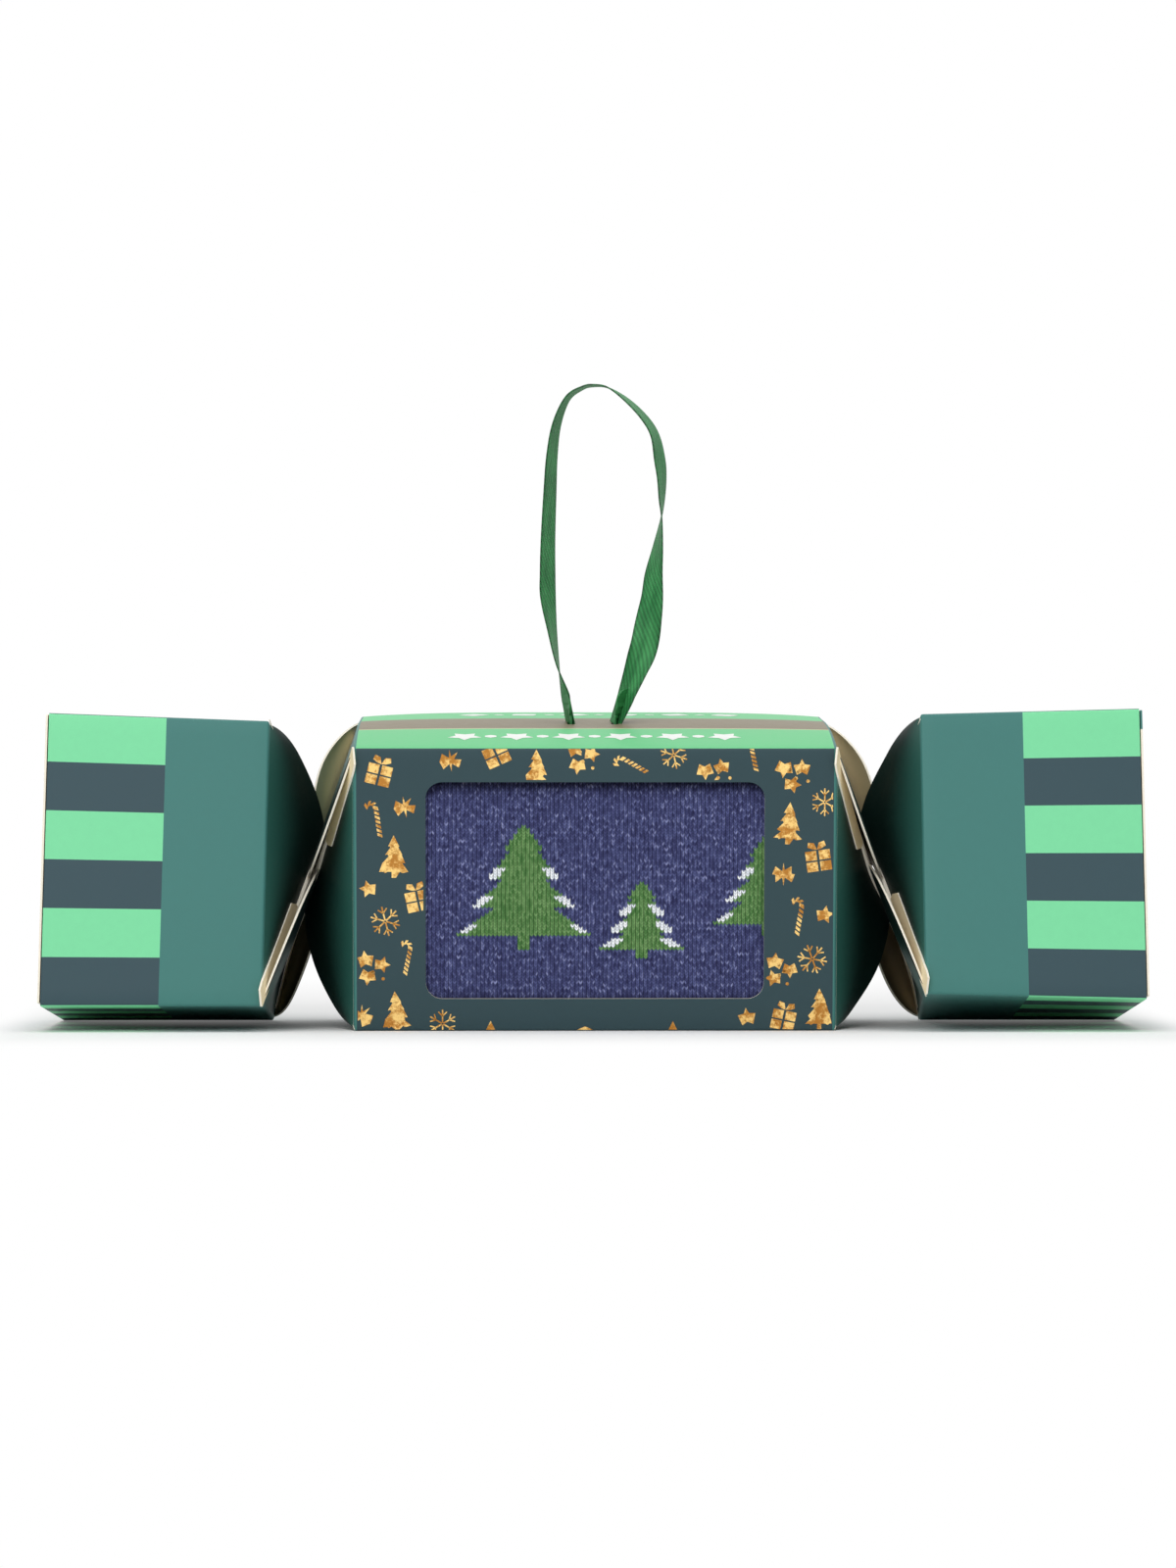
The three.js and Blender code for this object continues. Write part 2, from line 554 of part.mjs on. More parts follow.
// Socks
const sockFront = - INNER + SOCK_RECESS;
const sockBack = INNER - CREASE_GAP;
const sockMiddle = ( sockFront + sockBack ) / 2;
addPiece( body, 'folded_sock_front', sockPad( sockFront, sockMiddle - SOCK_SPLIT / 2 ), MATERIALS.knit );
addPiece( body, 'folded_sock_back', sockPad( sockMiddle + SOCK_SPLIT / 2, sockBack ), MATERIALS.knit );

export default cracker;
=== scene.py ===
import math
from contextlib import contextmanager

import bmesh
import bpy
import numpy as np
from mathutils import Matrix, Vector


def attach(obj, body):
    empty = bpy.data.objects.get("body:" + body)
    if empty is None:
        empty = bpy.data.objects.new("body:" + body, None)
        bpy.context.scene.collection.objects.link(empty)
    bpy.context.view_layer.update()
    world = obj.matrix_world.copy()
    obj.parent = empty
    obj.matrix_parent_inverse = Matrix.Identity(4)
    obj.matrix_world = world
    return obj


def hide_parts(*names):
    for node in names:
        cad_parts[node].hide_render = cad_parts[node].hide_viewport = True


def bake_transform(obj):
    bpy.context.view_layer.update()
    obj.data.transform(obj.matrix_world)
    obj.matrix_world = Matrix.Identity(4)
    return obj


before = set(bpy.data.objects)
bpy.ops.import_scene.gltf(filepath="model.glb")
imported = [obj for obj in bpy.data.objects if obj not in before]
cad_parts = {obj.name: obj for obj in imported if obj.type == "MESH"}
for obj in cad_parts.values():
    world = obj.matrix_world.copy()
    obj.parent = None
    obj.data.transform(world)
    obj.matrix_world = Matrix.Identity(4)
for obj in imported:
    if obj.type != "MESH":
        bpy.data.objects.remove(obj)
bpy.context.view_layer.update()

# Sizes in metres

MM = 0.001
BOARD = 0.5 * MM
SECTION = 70 * MM
HALF = SECTION / 2
BODY_END = 59 * MM
END_FOLD = 80 * MM
RIM = 132.7 * MM
NECK_GAP = END_FOLD - BODY_END
PETAL_WIDTH = 34.2 * MM
PETAL_REACH = 39 * MM
LIP_WIDTH = 4.2 * MM
LIP_LENGTH = 33 * MM
FOLD_RADIUS = 0.6 * MM
FOLD_REACH = 1.05 * MM
CREASE_RADIUS = 0.7 * MM
TOP_CROWN = 2.35 * MM
BACK_CROWN = (0.5 * MM, 1.7 * MM)
BACK_BULGE = {
    ("body", "left"): 1.4 * MM, ("body", "right"): 1.0 * MM,
    ("end", "left"): -0.9 * MM, ("end", "right"): 0,
}

BODY_LEAN = math.radians(6.7)
END_LEAN = {"left": math.radians(-5.3), "right": math.radians(-8.3)}

WINDOW = dict(width=83 * MM, low=-27 * MM, high=26.5 * MM, corner=4 * MM)
SLIT = dict(spacing=11 * MM, width=2 * MM, length=8.6 * MM)

STRIPES_START = 104.5 * MM
STRIPES_PER_SIDE = 6
NECK_PRINT_EDGE = 58.45 * MM
BAND_LINE = 0.35 * MM

WALE = 1.0 * MM
COURSE = 0.7 * MM
STITCH_SLANT = 1.7

RIBBON_WIDTH = 7 * MM
RIBBON_THICKNESS = 0.3 * MM
RIBBON_PIVOT = 5 * MM

LIP_START = {"front": -0.4 * MM, "other": 7 * MM}
LIP_LIFT = 0.06 * MM
RIDGE_RADIUS = 0.16 * MM
RIDGE_SWELL = 0.7 * MM

INK = 0.04 * MM
LID_BEND = 5 * MM
TUCK_BEND = (3 * MM, 4 * MM)
DUST_BEND = 0.86

# Frames: each box of the carton stands on one long edge and leans


def standing(lean):
    height = HALF * (math.cos(lean) + abs(math.sin(lean)))
    return Matrix.Translation((0, 0, height)) @ Matrix.Rotation(lean, 4, "X")


BODY = standing(BODY_LEAN)
END = {side: standing(lean) for side, lean in END_LEAN.items()}


def clamped(share):
    return min(1, max(0, share))


def eased(share):
    return clamped(share) ** 2 * (3 - 2 * clamped(share))


def crown(x, y, z):
    """How far the stuffed box lifts its top panel, in all its width and a little at the back edge."""
    if z < 0:
        return 0.0
    along = clamped(abs(x) / BODY_END)
    across = max(-1, min(1, y / HALF))
    swell = (1 - across**2) * ((1 - across) / 2) ** 0.43 if z > 0.9 * HALF else 0
    at_back = BACK_CROWN[0] + (BACK_CROWN[1] - BACK_CROWN[0]) * (1 - along**4)
    return TOP_CROWN * swell + at_back * (1 + across) / 2 * (z / HALF)


# How each end stands, in millimetres: outward shift, more of it at the bottom, at the rim and at the
# back; the rise of the top and bottom panels at the neck and at the rim; and how far the two creases
# seen in front are crushed together, the top strip's and the front strip's
SETTLING = {
    "left": dict(
        all=0.1, low=1.6, rim=1.1, back=0, top=(0, 2), bottom=(0, 0), crush=(1.2, 1.4)
    ),
    "right": dict(
        all=0.4, low=0.6, rim=1.1, back=3.6, top=(-1.4, 0), bottom=(-0.7, -2), crush=(1.9, 2.6)
    ),
}


def settle(piece, side, strip=None):
    """Gives a piece of an end or neck its small lean and flare, and crushes the two panel strips that
    meet in front. The flat sheet's own place is kept for the print as the attribute "sheet"."""
    way = SETTLING[side]
    sign = -1 if side == "left" else 1
    to_end = END[side].inverted() @ piece.matrix_world
    back = to_end.inverted()
    flat = []
    for vertex in piece.data.vertices:
        place = to_end @ vertex.co
        flat += list(place)
        neck = clamped((abs(place.x) - BODY_END) / NECK_GAP)
        rim = clamped((abs(place.x) - END_FOLD) / (RIM - END_FOLD))
        high = clamped((1 + place.z / HALF) / 2)
        behind = clamped((1 + place.y / HALF) / 2)
        outward = way["all"] + way["low"] * (1 - high) + way["rim"] * rim
        outward = (outward + way["back"] * behind * (1 - rim)) * neck
        top, bottom = (way[key][0] * (1 - rim) + way[key][1] * rim for key in ("top", "bottom"))
        bottom *= 1 - behind
        inner = eased((place.y + 14 * MM) / (14 * MM))
        if strip == "front":
            level = eased((8 * MM - place.z) / (26 * MM)) * inner
            outward += way["crush"][1] * level * math.sin(math.pi * neck**1.8)
        elif strip == "top":
            level = eased((14 * MM + place.z) / (26 * MM)) * inner
            outward -= way["crush"][0] * level * math.sin(math.pi * (1 - neck) ** 1.8)
        place.x += sign * outward * MM
        place.z += (top * high + bottom * (1 - high)) * neck * MM
        vertex.co = back @ place
    piece.data.attributes.new("sheet", "FLOAT_VECTOR", "POINT").data.foreach_set("vector", flat)


# Materials


def paint(red, green, blue):
    """Screen values from 0 to 255 as the linear colour that shaders take."""

    def linear(value):
        value /= 255
        return value / 12.92 if value <= 0.04045 else ((value + 0.055) / 1.055) ** 2.4

    return (linear(red), linear(green), linear(blue), 1)


def arithmetic(operation, reflected=False):
    def apply(self, *others):
        values = (*others, self) if reflected else (self, *others)
        return self.calculate(operation, *values)

    return apply


class Signal:
    """One output of a material's nodes. Arithmetic on it adds Math nodes."""

    def __init__(self, finish, socket):
        self.finish = finish
        self.socket = socket

    def calculate(self, operation, *values):
        return self.finish.node("ShaderNodeMath", {"operation": operation}, dict(enumerate(values)))

    __add__ = __radd__ = arithmetic("ADD")
    __mul__ = __rmul__ = arithmetic("MULTIPLY")
    __sub__ = arithmetic("SUBTRACT")
    __rsub__ = arithmetic("SUBTRACT", reflected=True)
    __mod__ = arithmetic("FLOORED_MODULO")
    __gt__ = arithmetic("GREATER_THAN")
    __lt__ = arithmetic("LESS_THAN")
    __or__ = arithmetic("MAXIMUM")
    __abs__ = arithmetic("ABSOLUTE")
    floor = arithmetic("FLOOR")
    sine = arithmetic("SINE")

    def __neg__(self):
        return self * -1

    def between(self, low, high):
        """0 at low and under, 1 at high and over, smooth in between."""
        inputs = {"Value": self, "From Min": low, "From Max": high}
        return self.finish.node("ShaderNodeMapRange", {"interpolation_type": "SMOOTHSTEP"}, inputs)


class Finish:
    """A material, or the world, while its nodes are made."""

    def __init__(self, name, owner=None):
        self.material = owner or bpy.data.materials.new(name)
        self.material.use_nodes = True
        self.tree = self.material.node_tree
        self.tree.nodes.clear()

    def node(self, kind, settings=None, inputs=None, output=0):
        """Adds a node: its settings first, then the values or signals of its sockets."""
        made = self.tree.nodes.new(kind)
        for key, value in (settings or {}).items():
            if key == "stops":
                ramp = made.color_ramp.elements
                for index, (position, colour) in enumerate(value):
                    stop = ramp[index] if index < len(ramp) else ramp.new(position)
                    stop.position, stop.color = position, colour
            else:
                setattr(made, key, value)
        for key, value in (inputs or {}).items():
            if isinstance(value, Signal):
                self.tree.links.new(value.socket, made.inputs[key])
            else:
                made.inputs[key].default_value = value
        return Signal(self, made.outputs[output]) if len(made.outputs) else None

    def attribute(self, name, output="Fac"):
        return self.node("ShaderNodeAttribute", {"attribute_name": name}, output=output)

    def place(self, attribute=None):
        """Object coordinates, or an attribute's, in millimetres: the vector, and its x, y and z."""
        if attribute:
            position = self.attribute(attribute, "Vector")
        else:
            position = self.node("ShaderNodeTexCoord", output="Object")
        scaled = self.shaded(position, 1 / MM)
        axes = [self.node("ShaderNodeSeparateXYZ", inputs={0: scaled}, output=i) for i in range(3)]
        return scaled, *axes

    def noise(self, vector, scale, detail=2, roughness=0.5):
        inputs = {"Vector": vector, "Scale": scale, "Detail": detail, "Roughness": roughness}
        return self.node("ShaderNodeTexNoise", inputs=inputs)

    def stretched(self, vector, x, y, z):
        return self.node("ShaderNodeVectorMath", {"operation": "MULTIPLY"}, {0: vector, 1: (x, y, z)})

    def mixed(self, factor, first, second):
        return self.node("ShaderNodeMix", {"data_type": "RGBA"}, {0: factor, 6: first, 7: second}, 2)

    def shaded(self, colour, amount):
        """The colour with its brightness multiplied by a signal."""
        colour = colour if isinstance(colour, Signal) else colour[:3]
        inputs = {"Vector": colour, "Scale": amount}
        return self.node("ShaderNodeVectorMath", {"operation": "SCALE"}, inputs)

    def bump(self, height, distance):
        return self.node("ShaderNodeBump", inputs={"Height": height, "Distance": distance})

    def surface(self, **inputs):
        named = {key.replace("_", " "): value for key, value in inputs.items()}
        shader = self.node("ShaderNodeBsdfPrincipled", inputs=named)
        self.node("ShaderNodeOutputMaterial", inputs={"Surface": shader})
        return self.material


GREEN = paint(128, 224, 166)
BAND_GREEN = paint(112, 206, 142)
NAVY = paint(53, 77, 85)
# A slightly darker copy of NAVY, the same ink: painted shade for the body's forward-leaning front
BODY_NAVY_SHADED = paint(48, 72, 78)
# The top's middle band is navy print; its taupe here is the varnish's grazing glare, a painted
# reflection
BAND_NAVY_GLARE = paint(135, 125, 104)
TEAL = paint(66, 124, 118)
# A darker copy of TEAL, the ink the neck flaps are printed in: painted shade for flaps deep in the neck
NECK_TEAL_SHADED = paint(46, 98, 88)
CREAM = paint(222, 203, 168)
CUT_EDGE = paint(250, 243, 226)


def board_surface(finish, vector, colour):
    """Printed and varnished board: fine tooth, faint mottling and an uneven gloss."""
    mottle = finish.noise(vector, 0.55, 3)
    tooth = finish.noise(vector, 3.2, 3, 0.6)
    colour = finish.shaded(colour, 0.94 + mottle * 0.06 + tooth * 0.06)
    return finish.surface(
        Base_Color=colour,
        Roughness=0.36 + mottle * 0.12 + tooth * 0.08,
        Normal=finish.bump(tooth + mottle * 0.5, 0.012 * MM),
        Specular_IOR_Level=0.28,
    )


def side_of(y, z):
    """Which of the tube's four sides a point is on, as masks."""
    front = -y > abs(z)
    back = y > abs(z)
    neither = 1 - front - back
    top = neither * (z > 0)
    return front, back, top, neither - top


def body_print():
    finish = Finish("body_print")
    vector, x, y, z = finish.place()
    top = side_of(y, z)[2]
    sixth = SECTION / 6 / MM
    band = top * (abs(y) > sixth)
    line = top * (abs(y + sixth) < BAND_LINE / MM)
    # The sides take navy with painted shade, the top's middle band the taupe painted glare of its navy
    colour = finish.mixed(top, BODY_NAVY_SHADED, BAND_NAVY_GLARE)
    colour = finish.mixed(band, colour, BAND_GREEN)
    colour = finish.mixed(line, colour, CREAM)
    colour = finish.mixed(abs(x) > NECK_PRINT_EDGE / MM, colour, TEAL)
    return board_surface(finish, vector, colour)


def end_print():
    finish = Finish("end_print")
    vector, x, y, z = finish.place("sheet")
    front, back, top, bottom = side_of(y, z)
    half = HALF / MM
    round_the_box = front * (half - z) + bottom * (half + y) + back * (half + z) + top * (half - y)
    stripe = (round_the_box * (STRIPES_PER_SIDE * MM / SECTION)).floor() % 2
    colour = finish.mixed(stripe, GREEN, NAVY)
    colour = finish.mixed(abs(x) > STRIPES_START / MM, TEAL, colour)
    return board_surface(finish, vector, colour)


def neck_print_with_shade():
    """The flaps face into the neck, and painted shade deepens their teal print away from the folds."""
    finish = Finish("neck_print_with_shade")
    vector = finish.place()[0]
    shadow = finish.attribute("reach").between(-0.1, 0.7) * 0.88
    return board_surface(finish, vector, finish.shaded(NECK_TEAL_SHADED, 1 - shadow))


def pulp_surface(finish, vector, colour, depth, contrast, specular):
    """Unprinted board: fibres of lighter and darker pulp."""
    fibres = finish.noise(finish.stretched(vector, 0.5, 2, 2), 2.4, 4, 0.65)
    return finish.surface(
        Base_Color=finish.shaded(colour, 1 - contrast / 2 + fibres * contrast),
        Roughness=0.82,
        Normal=finish.bump(fibres, depth),
        Specular_IOR_Level=specular,
    )


def neck_inside_shaded(name, near, far):
    """The cream side of the flaps, browner and darker towards the waist: painted shade."""
    finish = Finish(name)
    colour = finish.mixed(finish.attribute("reach").between(0, 0.9), near, far)
    return pulp_surface(finish, finish.place()[0], colour, 0.03 * MM, 0.24, 0.2)


def plain_print(name, colour):
    finish = Finish(name)
    return board_surface(finish, finish.place()[0], colour)


def raw_board(name, colour, depth):
    finish = Finish(name)
    vector = finish.place()[0]
    flecks = finish.noise(vector, 6, 2).between(0.62, 0.75)
    return pulp_surface(finish, vector, finish.shaded(colour, 1 - flecks * 0.08), depth, 0.2, 0.25)


def foil():
    finish = Finish("amber_foil")
    vector = finish.place()[0]
    crinkle = finish.noise(vector, 1.3, 4, 0.7)
    grain = finish.noise(vector, 5.5, 2)
    tone = finish.noise(vector, 0.35, 1)
    # Lighter where the crinkle and tone noises are high: painted glints on the crinkles, and the foil's
    # uneven tone
    bright = (crinkle + tone).between(0.85, 1.15)
    colour = finish.mixed(bright, paint(186, 126, 52), paint(255, 214, 132))
    return finish.surface(
        Base_Color=colour,
        Metallic=0.75,
        Roughness=0.26 + grain * 0.2,
        Normal=finish.bump(crinkle + grain * 0.4, 0.16 * MM),
    )


def satin():
    """Woven satin ribbon: weft floats in a fine diagonal, which also streaks the colour as painted
    sheen, and a darker selvedge along both edges.
    """
    finish = Finish("ribbon_satin")
    along = finish.attribute("along")
    across = finish.attribute("across")
    vector = finish.node("ShaderNodeCombineXYZ", inputs={0: along, 1: across})
    twill_and_sheen = ((along * 1.6 + across * 2.6) * 2).sine()
    threads = (across * 22).sine()
    cloudy = finish.noise(finish.stretched(vector, 0.25, 1, 1), 0.5, 3)
    selvedge = abs(across).between(2.7, 3.4)
    colour = finish.mixed(cloudy.between(0.3, 0.7), paint(36, 118, 62), paint(66, 152, 88))
    # The diagonal lightens and darkens the colour in streaks: painted sheen over the weave's bump
    colour = finish.shaded(colour, 0.86 + twill_and_sheen * 0.22 - selvedge * 0.42)
    return finish.surface(
        Base_Color=colour,
        Roughness=0.42 + cloudy * 0.14,
        Normal=finish.bump(twill_and_sheen * 0.6 + threads * 0.3, 0.035 * MM),
        Specular_IOR_Level=0.3,
    )


HEATHER = [
    (0.3, paint(44, 46, 84)), (0.55, paint(64, 68, 110)),
    (0.74, paint(82, 88, 134)), (0.95, paint(140, 146, 190)),
]


def heather_knit():
    """Heather yarn: each stitch leg takes its own tone, in short streaks along the row."""
    finish = Finish("heather_knit")
    vector, x, _, z = finish.place()
    yarn = finish.attribute("yarn")
    wale = x * (MM / WALE)
    off_centre = abs(wale - wale.floor() - 0.5)
    course = z * (MM / COURSE) - off_centre * STITCH_SLANT
    cell = finish.node("ShaderNodeCombineXYZ", inputs={0: (wale * 2).floor(), 1: course.floor()})
    own = finish.node("ShaderNodeTexWhiteNoise", {"noise_dimensions": "2D"}, {"Vector": cell})
    streaks = finish.noise(finish.stretched(cell, 0.3, 1, 1), 0.9, 2)
    tone = own * 0.4 + streaks * 0.8
    heather = finish.node("ShaderNodeValToRGB", {"stops": HEATHER}, {"Fac": tone})
    green = finish.mixed(own, paint(68, 114, 60), paint(114, 154, 96))
    white = finish.mixed(own, paint(214, 220, 228), paint(250, 252, 255))
    colour = finish.mixed(yarn > 0.5, heather, green)
    colour = finish.mixed(yarn > 1.5, colour, white)
    fuzz = finish.noise(vector, 9, 3, 0.7)
    # Painted shade: darker in the grooves between wales, down each wale's middle and where stitch legs
    # overlap; depth is this shade factor
    groove_shade = off_centre.between(0.3, 0.5) * 0.72 + (1 - off_centre.between(0.0, 0.1)) * 0.35
    overlap_shade = abs(course - course.floor() - 0.5).between(0.24, 0.5) * 0.5
    depth = (1 - groove_shade) * (1 - overlap_shade)
    return finish.surface(
        Base_Color=finish.shaded(colour, (1.05 + fuzz * 0.5) * depth),
        Roughness=0.85,
        Normal=finish.bump(fuzz, 0.05 * MM),
        Specular_IOR_Level=0.15,
    )


def stage_floor():
    finish = Finish("stage_floor")
    x, y = finish.place()[1:3]
    seen = finish.node("ShaderNodeLightPath", output="Is Camera Ray")
    # Camera rays see the floor fade into plain white away from the carton; just behind it only part of
    # the white is mixed in, painted light that lifts the shadow there
    before = (-y).between(52, 118)
    beside = abs(x).between(135, 154)
    behind = y.between(70, 370) * 0.78 + y.between(-20, 60) * 0.22
    far = 1 - (1 - before) * (1 - beside) * (1 - behind)
    near_shader = finish.node("ShaderNodeBsdfDiffuse", inputs={"Color": (1, 1, 1, 1)})
    white = finish.node("ShaderNodeEmission", inputs={"Color": (1, 1, 1, 1), "Strength": 1.0})
    shader = finish.node("ShaderNodeMixShader", inputs={0: seen * far, 1: near_shader, 2: white})
    finish.node("ShaderNodeOutputMaterial", inputs={"Surface": shader})
    return finish.material


BODY_PRINT = body_print()
END_PRINT = end_print()
NECK_PRINT_AND_SHADE = neck_print_with_shade()
# Lit and shaded copies of the cream inside, one per flap set: painted light and shade, and on the
# body's left also painted green light bounced from the print
NECK_INSIDE_SHADES = {
    ("body", "left"): neck_inside_shaded("inside_green_bounce_shade", paint(244, 236, 204), paint(150, 162, 130)),
    ("body", "right"): neck_inside_shaded("inside_pale_lit_shade", paint(250, 240, 212), paint(186, 172, 136)),
    ("end", "left"): neck_inside_shaded("inside_deep_shade", paint(204, 192, 150), paint(62, 58, 38)),
    ("end", "right"): neck_inside_shaded("inside_brown_shade", paint(230, 206, 160), paint(96, 84, 62)),
}
# A lighter copy of the cream board for the folded-over slivers: painted light against the shade they
# sit in
LIP_LIT = raw_board("lip_board_lit", paint(255, 236, 194), 0.03 * MM)
TAB_PRINT = plain_print("tab_print", TEAL)
INSIDE = raw_board("cream_board", CREAM, 0.03 * MM)
EDGE = raw_board("cut_board_edge", CUT_EDGE, 0.06 * MM)
FOIL = foil()
WHITE = plain_print("white_print", paint(248, 250, 246))
SATIN = satin()
KNIT = heather_knit()


# Meshes


def new_piece(name, mesh, matrix=None):
    piece = bpy.data.objects.new(name, mesh)
    bpy.context.scene.collection.objects.link(piece)
    if matrix is not None:
        piece.matrix_world = matrix
    return piece


def finished(mesh, *materials):
    mesh.materials.clear()
    for material in materials:
        mesh.materials.append(material)
    return mesh


def mesh_piece(name, vertices, faces, materials, matrix=None):
    mesh = bpy.data.meshes.new(name)
    mesh.from_pydata([tuple(v) for v in vertices], [], faces)
    return new_piece(name, finished(mesh, *materials), matrix)


@contextmanager
def editing(mesh, outwards=False):
    data = bmesh.new()
    data.from_mesh(mesh)
    yield data
    if outwards:
        bmesh.ops.recalc_face_normals(data, faces=data.faces)
    data.to_mesh(mesh)
    data.free()


def grid_faces(rows, size, closed=True, capped=False):
    """Faces between the neighbouring rows of a grid of points that is stored row after row."""
    faces = [
        (row + i, row + (i + 1) % size, row + size + (i + 1) % size, row + size + i)
        for row in range(0, (rows - 1) * size, size)
        for i in range(size if closed else size - 1)
    ]
    if capped:
        faces += [tuple(range(size))[::-1], tuple(range((rows - 1) * size, rows * size))]
    return faces


def grid_rim(rows, size):
    """The points round the edge of such a grid, in order."""
    index = np.arange(rows * size).reshape(rows, size)
    return np.concatenate([index[:, 0], index[-1, 1:], index[-2::-1, -1], index[0, -2:0:-1]])


def walls(rim, behind):
    """Faces between two rings of points."""
    return np.stack([rim, behind, np.roll(behind, -1), np.roll(rim, -1)], -1).tolist()


def applied(piece):
    """Applies the piece's modifiers."""
    graph = bpy.context.evaluated_depsgraph_get()
    mesh = bpy.data.meshes.new_from_object(piece.evaluated_get(graph))
    old = piece.data
    piece.modifiers.clear()
    piece.data = mesh
    bpy.data.meshes.remove(old)
    return piece


def thickened(piece, thickness, **settings):
    wall = piece.modifiers.new("thickness", "SOLIDIFY")
    wall.thickness = thickness
    for key, value in settings.items():
        setattr(wall, key, value)
    return applied(piece)


# Print outside, cream inside, pale cut edges
BOARD_LAYERS = dict(offset=-1, material_offset=1, material_offset_rim=2)


def smooth(piece, angle=35):
    piece.data.shade_smooth()
    piece.data.set_sharp_from_angle(angle=math.radians(angle))


def cut_away(piece, cutters):
    for hole in cutters:
        modifier = piece.modifiers.new("cut", "BOOLEAN")
        modifier.operation = "DIFFERENCE"
        modifier.solver = "EXACT"
        modifier.object = hole
    applied(piece)
    for hole in cutters:
        bpy.data.objects.remove(hole)


def mark(piece, name, values, domain="POINT"):
    """Keeps a number at each point or face, for the material to read."""
    piece.data.attributes.new(name, "FLOAT", domain).data.foreach_set("value", values)


def spaced(start, end, count):
    return [start + (end - start) * i / count for i in range(count + 1)]


def rounded_outline(width, low, high, corner, steps=8):
    points = []
    half_width, half_height = width / 2 - corner, (high - low) / 2 - corner
    middle = (low + high) / 2
    for side, (x, y) in enumerate(((1, 1), (-1, 1), (-1, -1), (1, -1))):
        for share in spaced(side, side + 1, steps):
            a, b = corner * math.cos(math.pi / 2 * share), corner * math.sin(math.pi / 2 * share)
            points.append((x * half_width + a, middle + y * half_height + b))
    return points


def edging(name, vertices, faces, materials, matrix):
    """A closed piece that has the third material, the cut edge's, all over."""
    piece = mesh_piece(name, vertices, faces, materials, matrix)
    with editing(piece.data, outwards=True) as data:
        for face in data.faces:
            face.material_index = 2
    return piece


def cutter(name, outline, low, high, place):
    """An outline extruded from low to high; place puts a point (a, b, depth) in the body's frame."""
    vertices = [place(a, b, depth) for depth in (low, high) for a, b in outline]
    faces = grid_faces(2, len(outline), capped=True)
    return edging(name, vertices, faces, [BODY_PRINT, INSIDE, EDGE], BODY)


def ring(half, radius, flats, arcs):
    """Points (y, z) round a square section with rounded creases, from the top front crease."""
    points = []
    span = 2 * (half - radius) / flats
    for corner, (cy, cz) in enumerate(((-1, 1), (-1, -1), (1, -1), (1, 1))):
        for angle in spaced(math.pi / 2 * (corner + 1), math.pi / 2 * (corner + 2), arcs):
            y = cy * (half - radius) + radius * math.cos(angle)
            points.append((y, cz * (half - radius) + radius * math.sin(angle)))
        y, z = points[-1]
        for step in range(1, flats):
            points.append((y - math.sin(angle) * span * step, z + math.cos(angle) * span * step))
    return points


class Neck:
    """A twisted neck. Each panel of the sheet creases along the diagonal from a corner of the middle
    box to the far corner of the end box, so the flaps beside the crease lie in planes of their own."""

    def __init__(self, side, sign):
        self.side = side
        self.sign = sign
        turn = math.pi / 2 - (BODY_LEAN - END_LEAN[side])
        depth = HALF * (1 - math.cos(turn) + math.sin(turn))
        length = math.hypot(NECK_GAP, depth)
        self.lean_x, self.lean_in = NECK_GAP / length, depth / length
        far_across = HALF * (1 + math.cos(turn) + math.sin(turn))
        self.crease_length = math.hypot(far_across, length)
        self.along = (-far_across / self.crease_length, length / self.crease_length)
        self.into = (-self.along[1], self.along[0])

    def crease_reach(self, across):
        return (HALF - across) * self.along[1] / -self.along[0]

    def petal_reach(self, across):
        return PETAL_REACH * math.sqrt(max(0, 1 - (across / PETAL_WIDTH) ** 2))

    def on_crease(self, distance, offset):
        """(across, reach) of a point given along the crease and into the flap from it."""
        return (
            HALF + self.along[0] * distance + self.into[0] * offset,
            self.along[1] * distance + self.into[1] * offset,
        )

    def sunk(self, reach, lift):
        """How far from its fold, and how deep, a point of a flap lies."""
        along = reach * self.lean_x + lift * self.lean_in
        return along, reach * self.lean_in - lift * self.lean_x - HALF

    def body_point(self, across, reach, lift):
        along, depth = self.sunk(reach, lift)
        return self.sign * (BODY_END + along), depth, across

    def end_point(self, across, reach, lift):
        along, depth = self.sunk(reach, lift)
        return self.sign * (END_FOLD - along), across, depth


def fold_profile(fold, inward, neck):
    """Where the tube turns in towards its neck: (x, inset) from the flat wall to the flap's root."""
    slope = math.atan2(neck.lean_in, neck.lean_x)
    start = fold - inward * FOLD_RADIUS * math.tan(slope / 2)
    points = [
        (start + inward * FOLD_RADIUS * math.sin(angle), FOLD_RADIUS * (1 - math.cos(angle)))
        for angle in spaced(0, slope, 5)
    ]
    x, inset = points[-1]
    return points + [(x + inward * (FOLD_REACH - inset) / math.tan(slope), FOLD_REACH)]


def tube(name, profile, crowned, printed, matrix):
    """The carton's wall as one folded sheet: print outside, cream inside, pale cut edges."""
    flats, arcs = 20, 4
    vertices = []
    for x, inset in profile:
        for y, z in ring(HALF - inset, max(CREASE_RADIUS - inset * 0.3, 0.3 * MM), flats, arcs):
            vertices.append((x, y, z + (crown(x, y, z) if crowned else 0)))
    faces = grid_faces(len(profile), 4 * (arcs + flats))
    piece = mesh_piece(name, vertices, faces, [printed, INSIDE, EDGE], matrix)
    with editing(piece.data) as data:
        bmesh.ops.recalc_face_normals(data, faces=data.faces)
        middle = next(f for f in data.faces if abs(f.normal.y) > 0.9)
        if middle.normal.y * middle.calc_center_median().y < 0:
            bmesh.ops.reverse_faces(data, faces=data.faces)
    return thickened(piece, BOARD, use_even_offset=True, **BOARD_LAYERS)


# Body

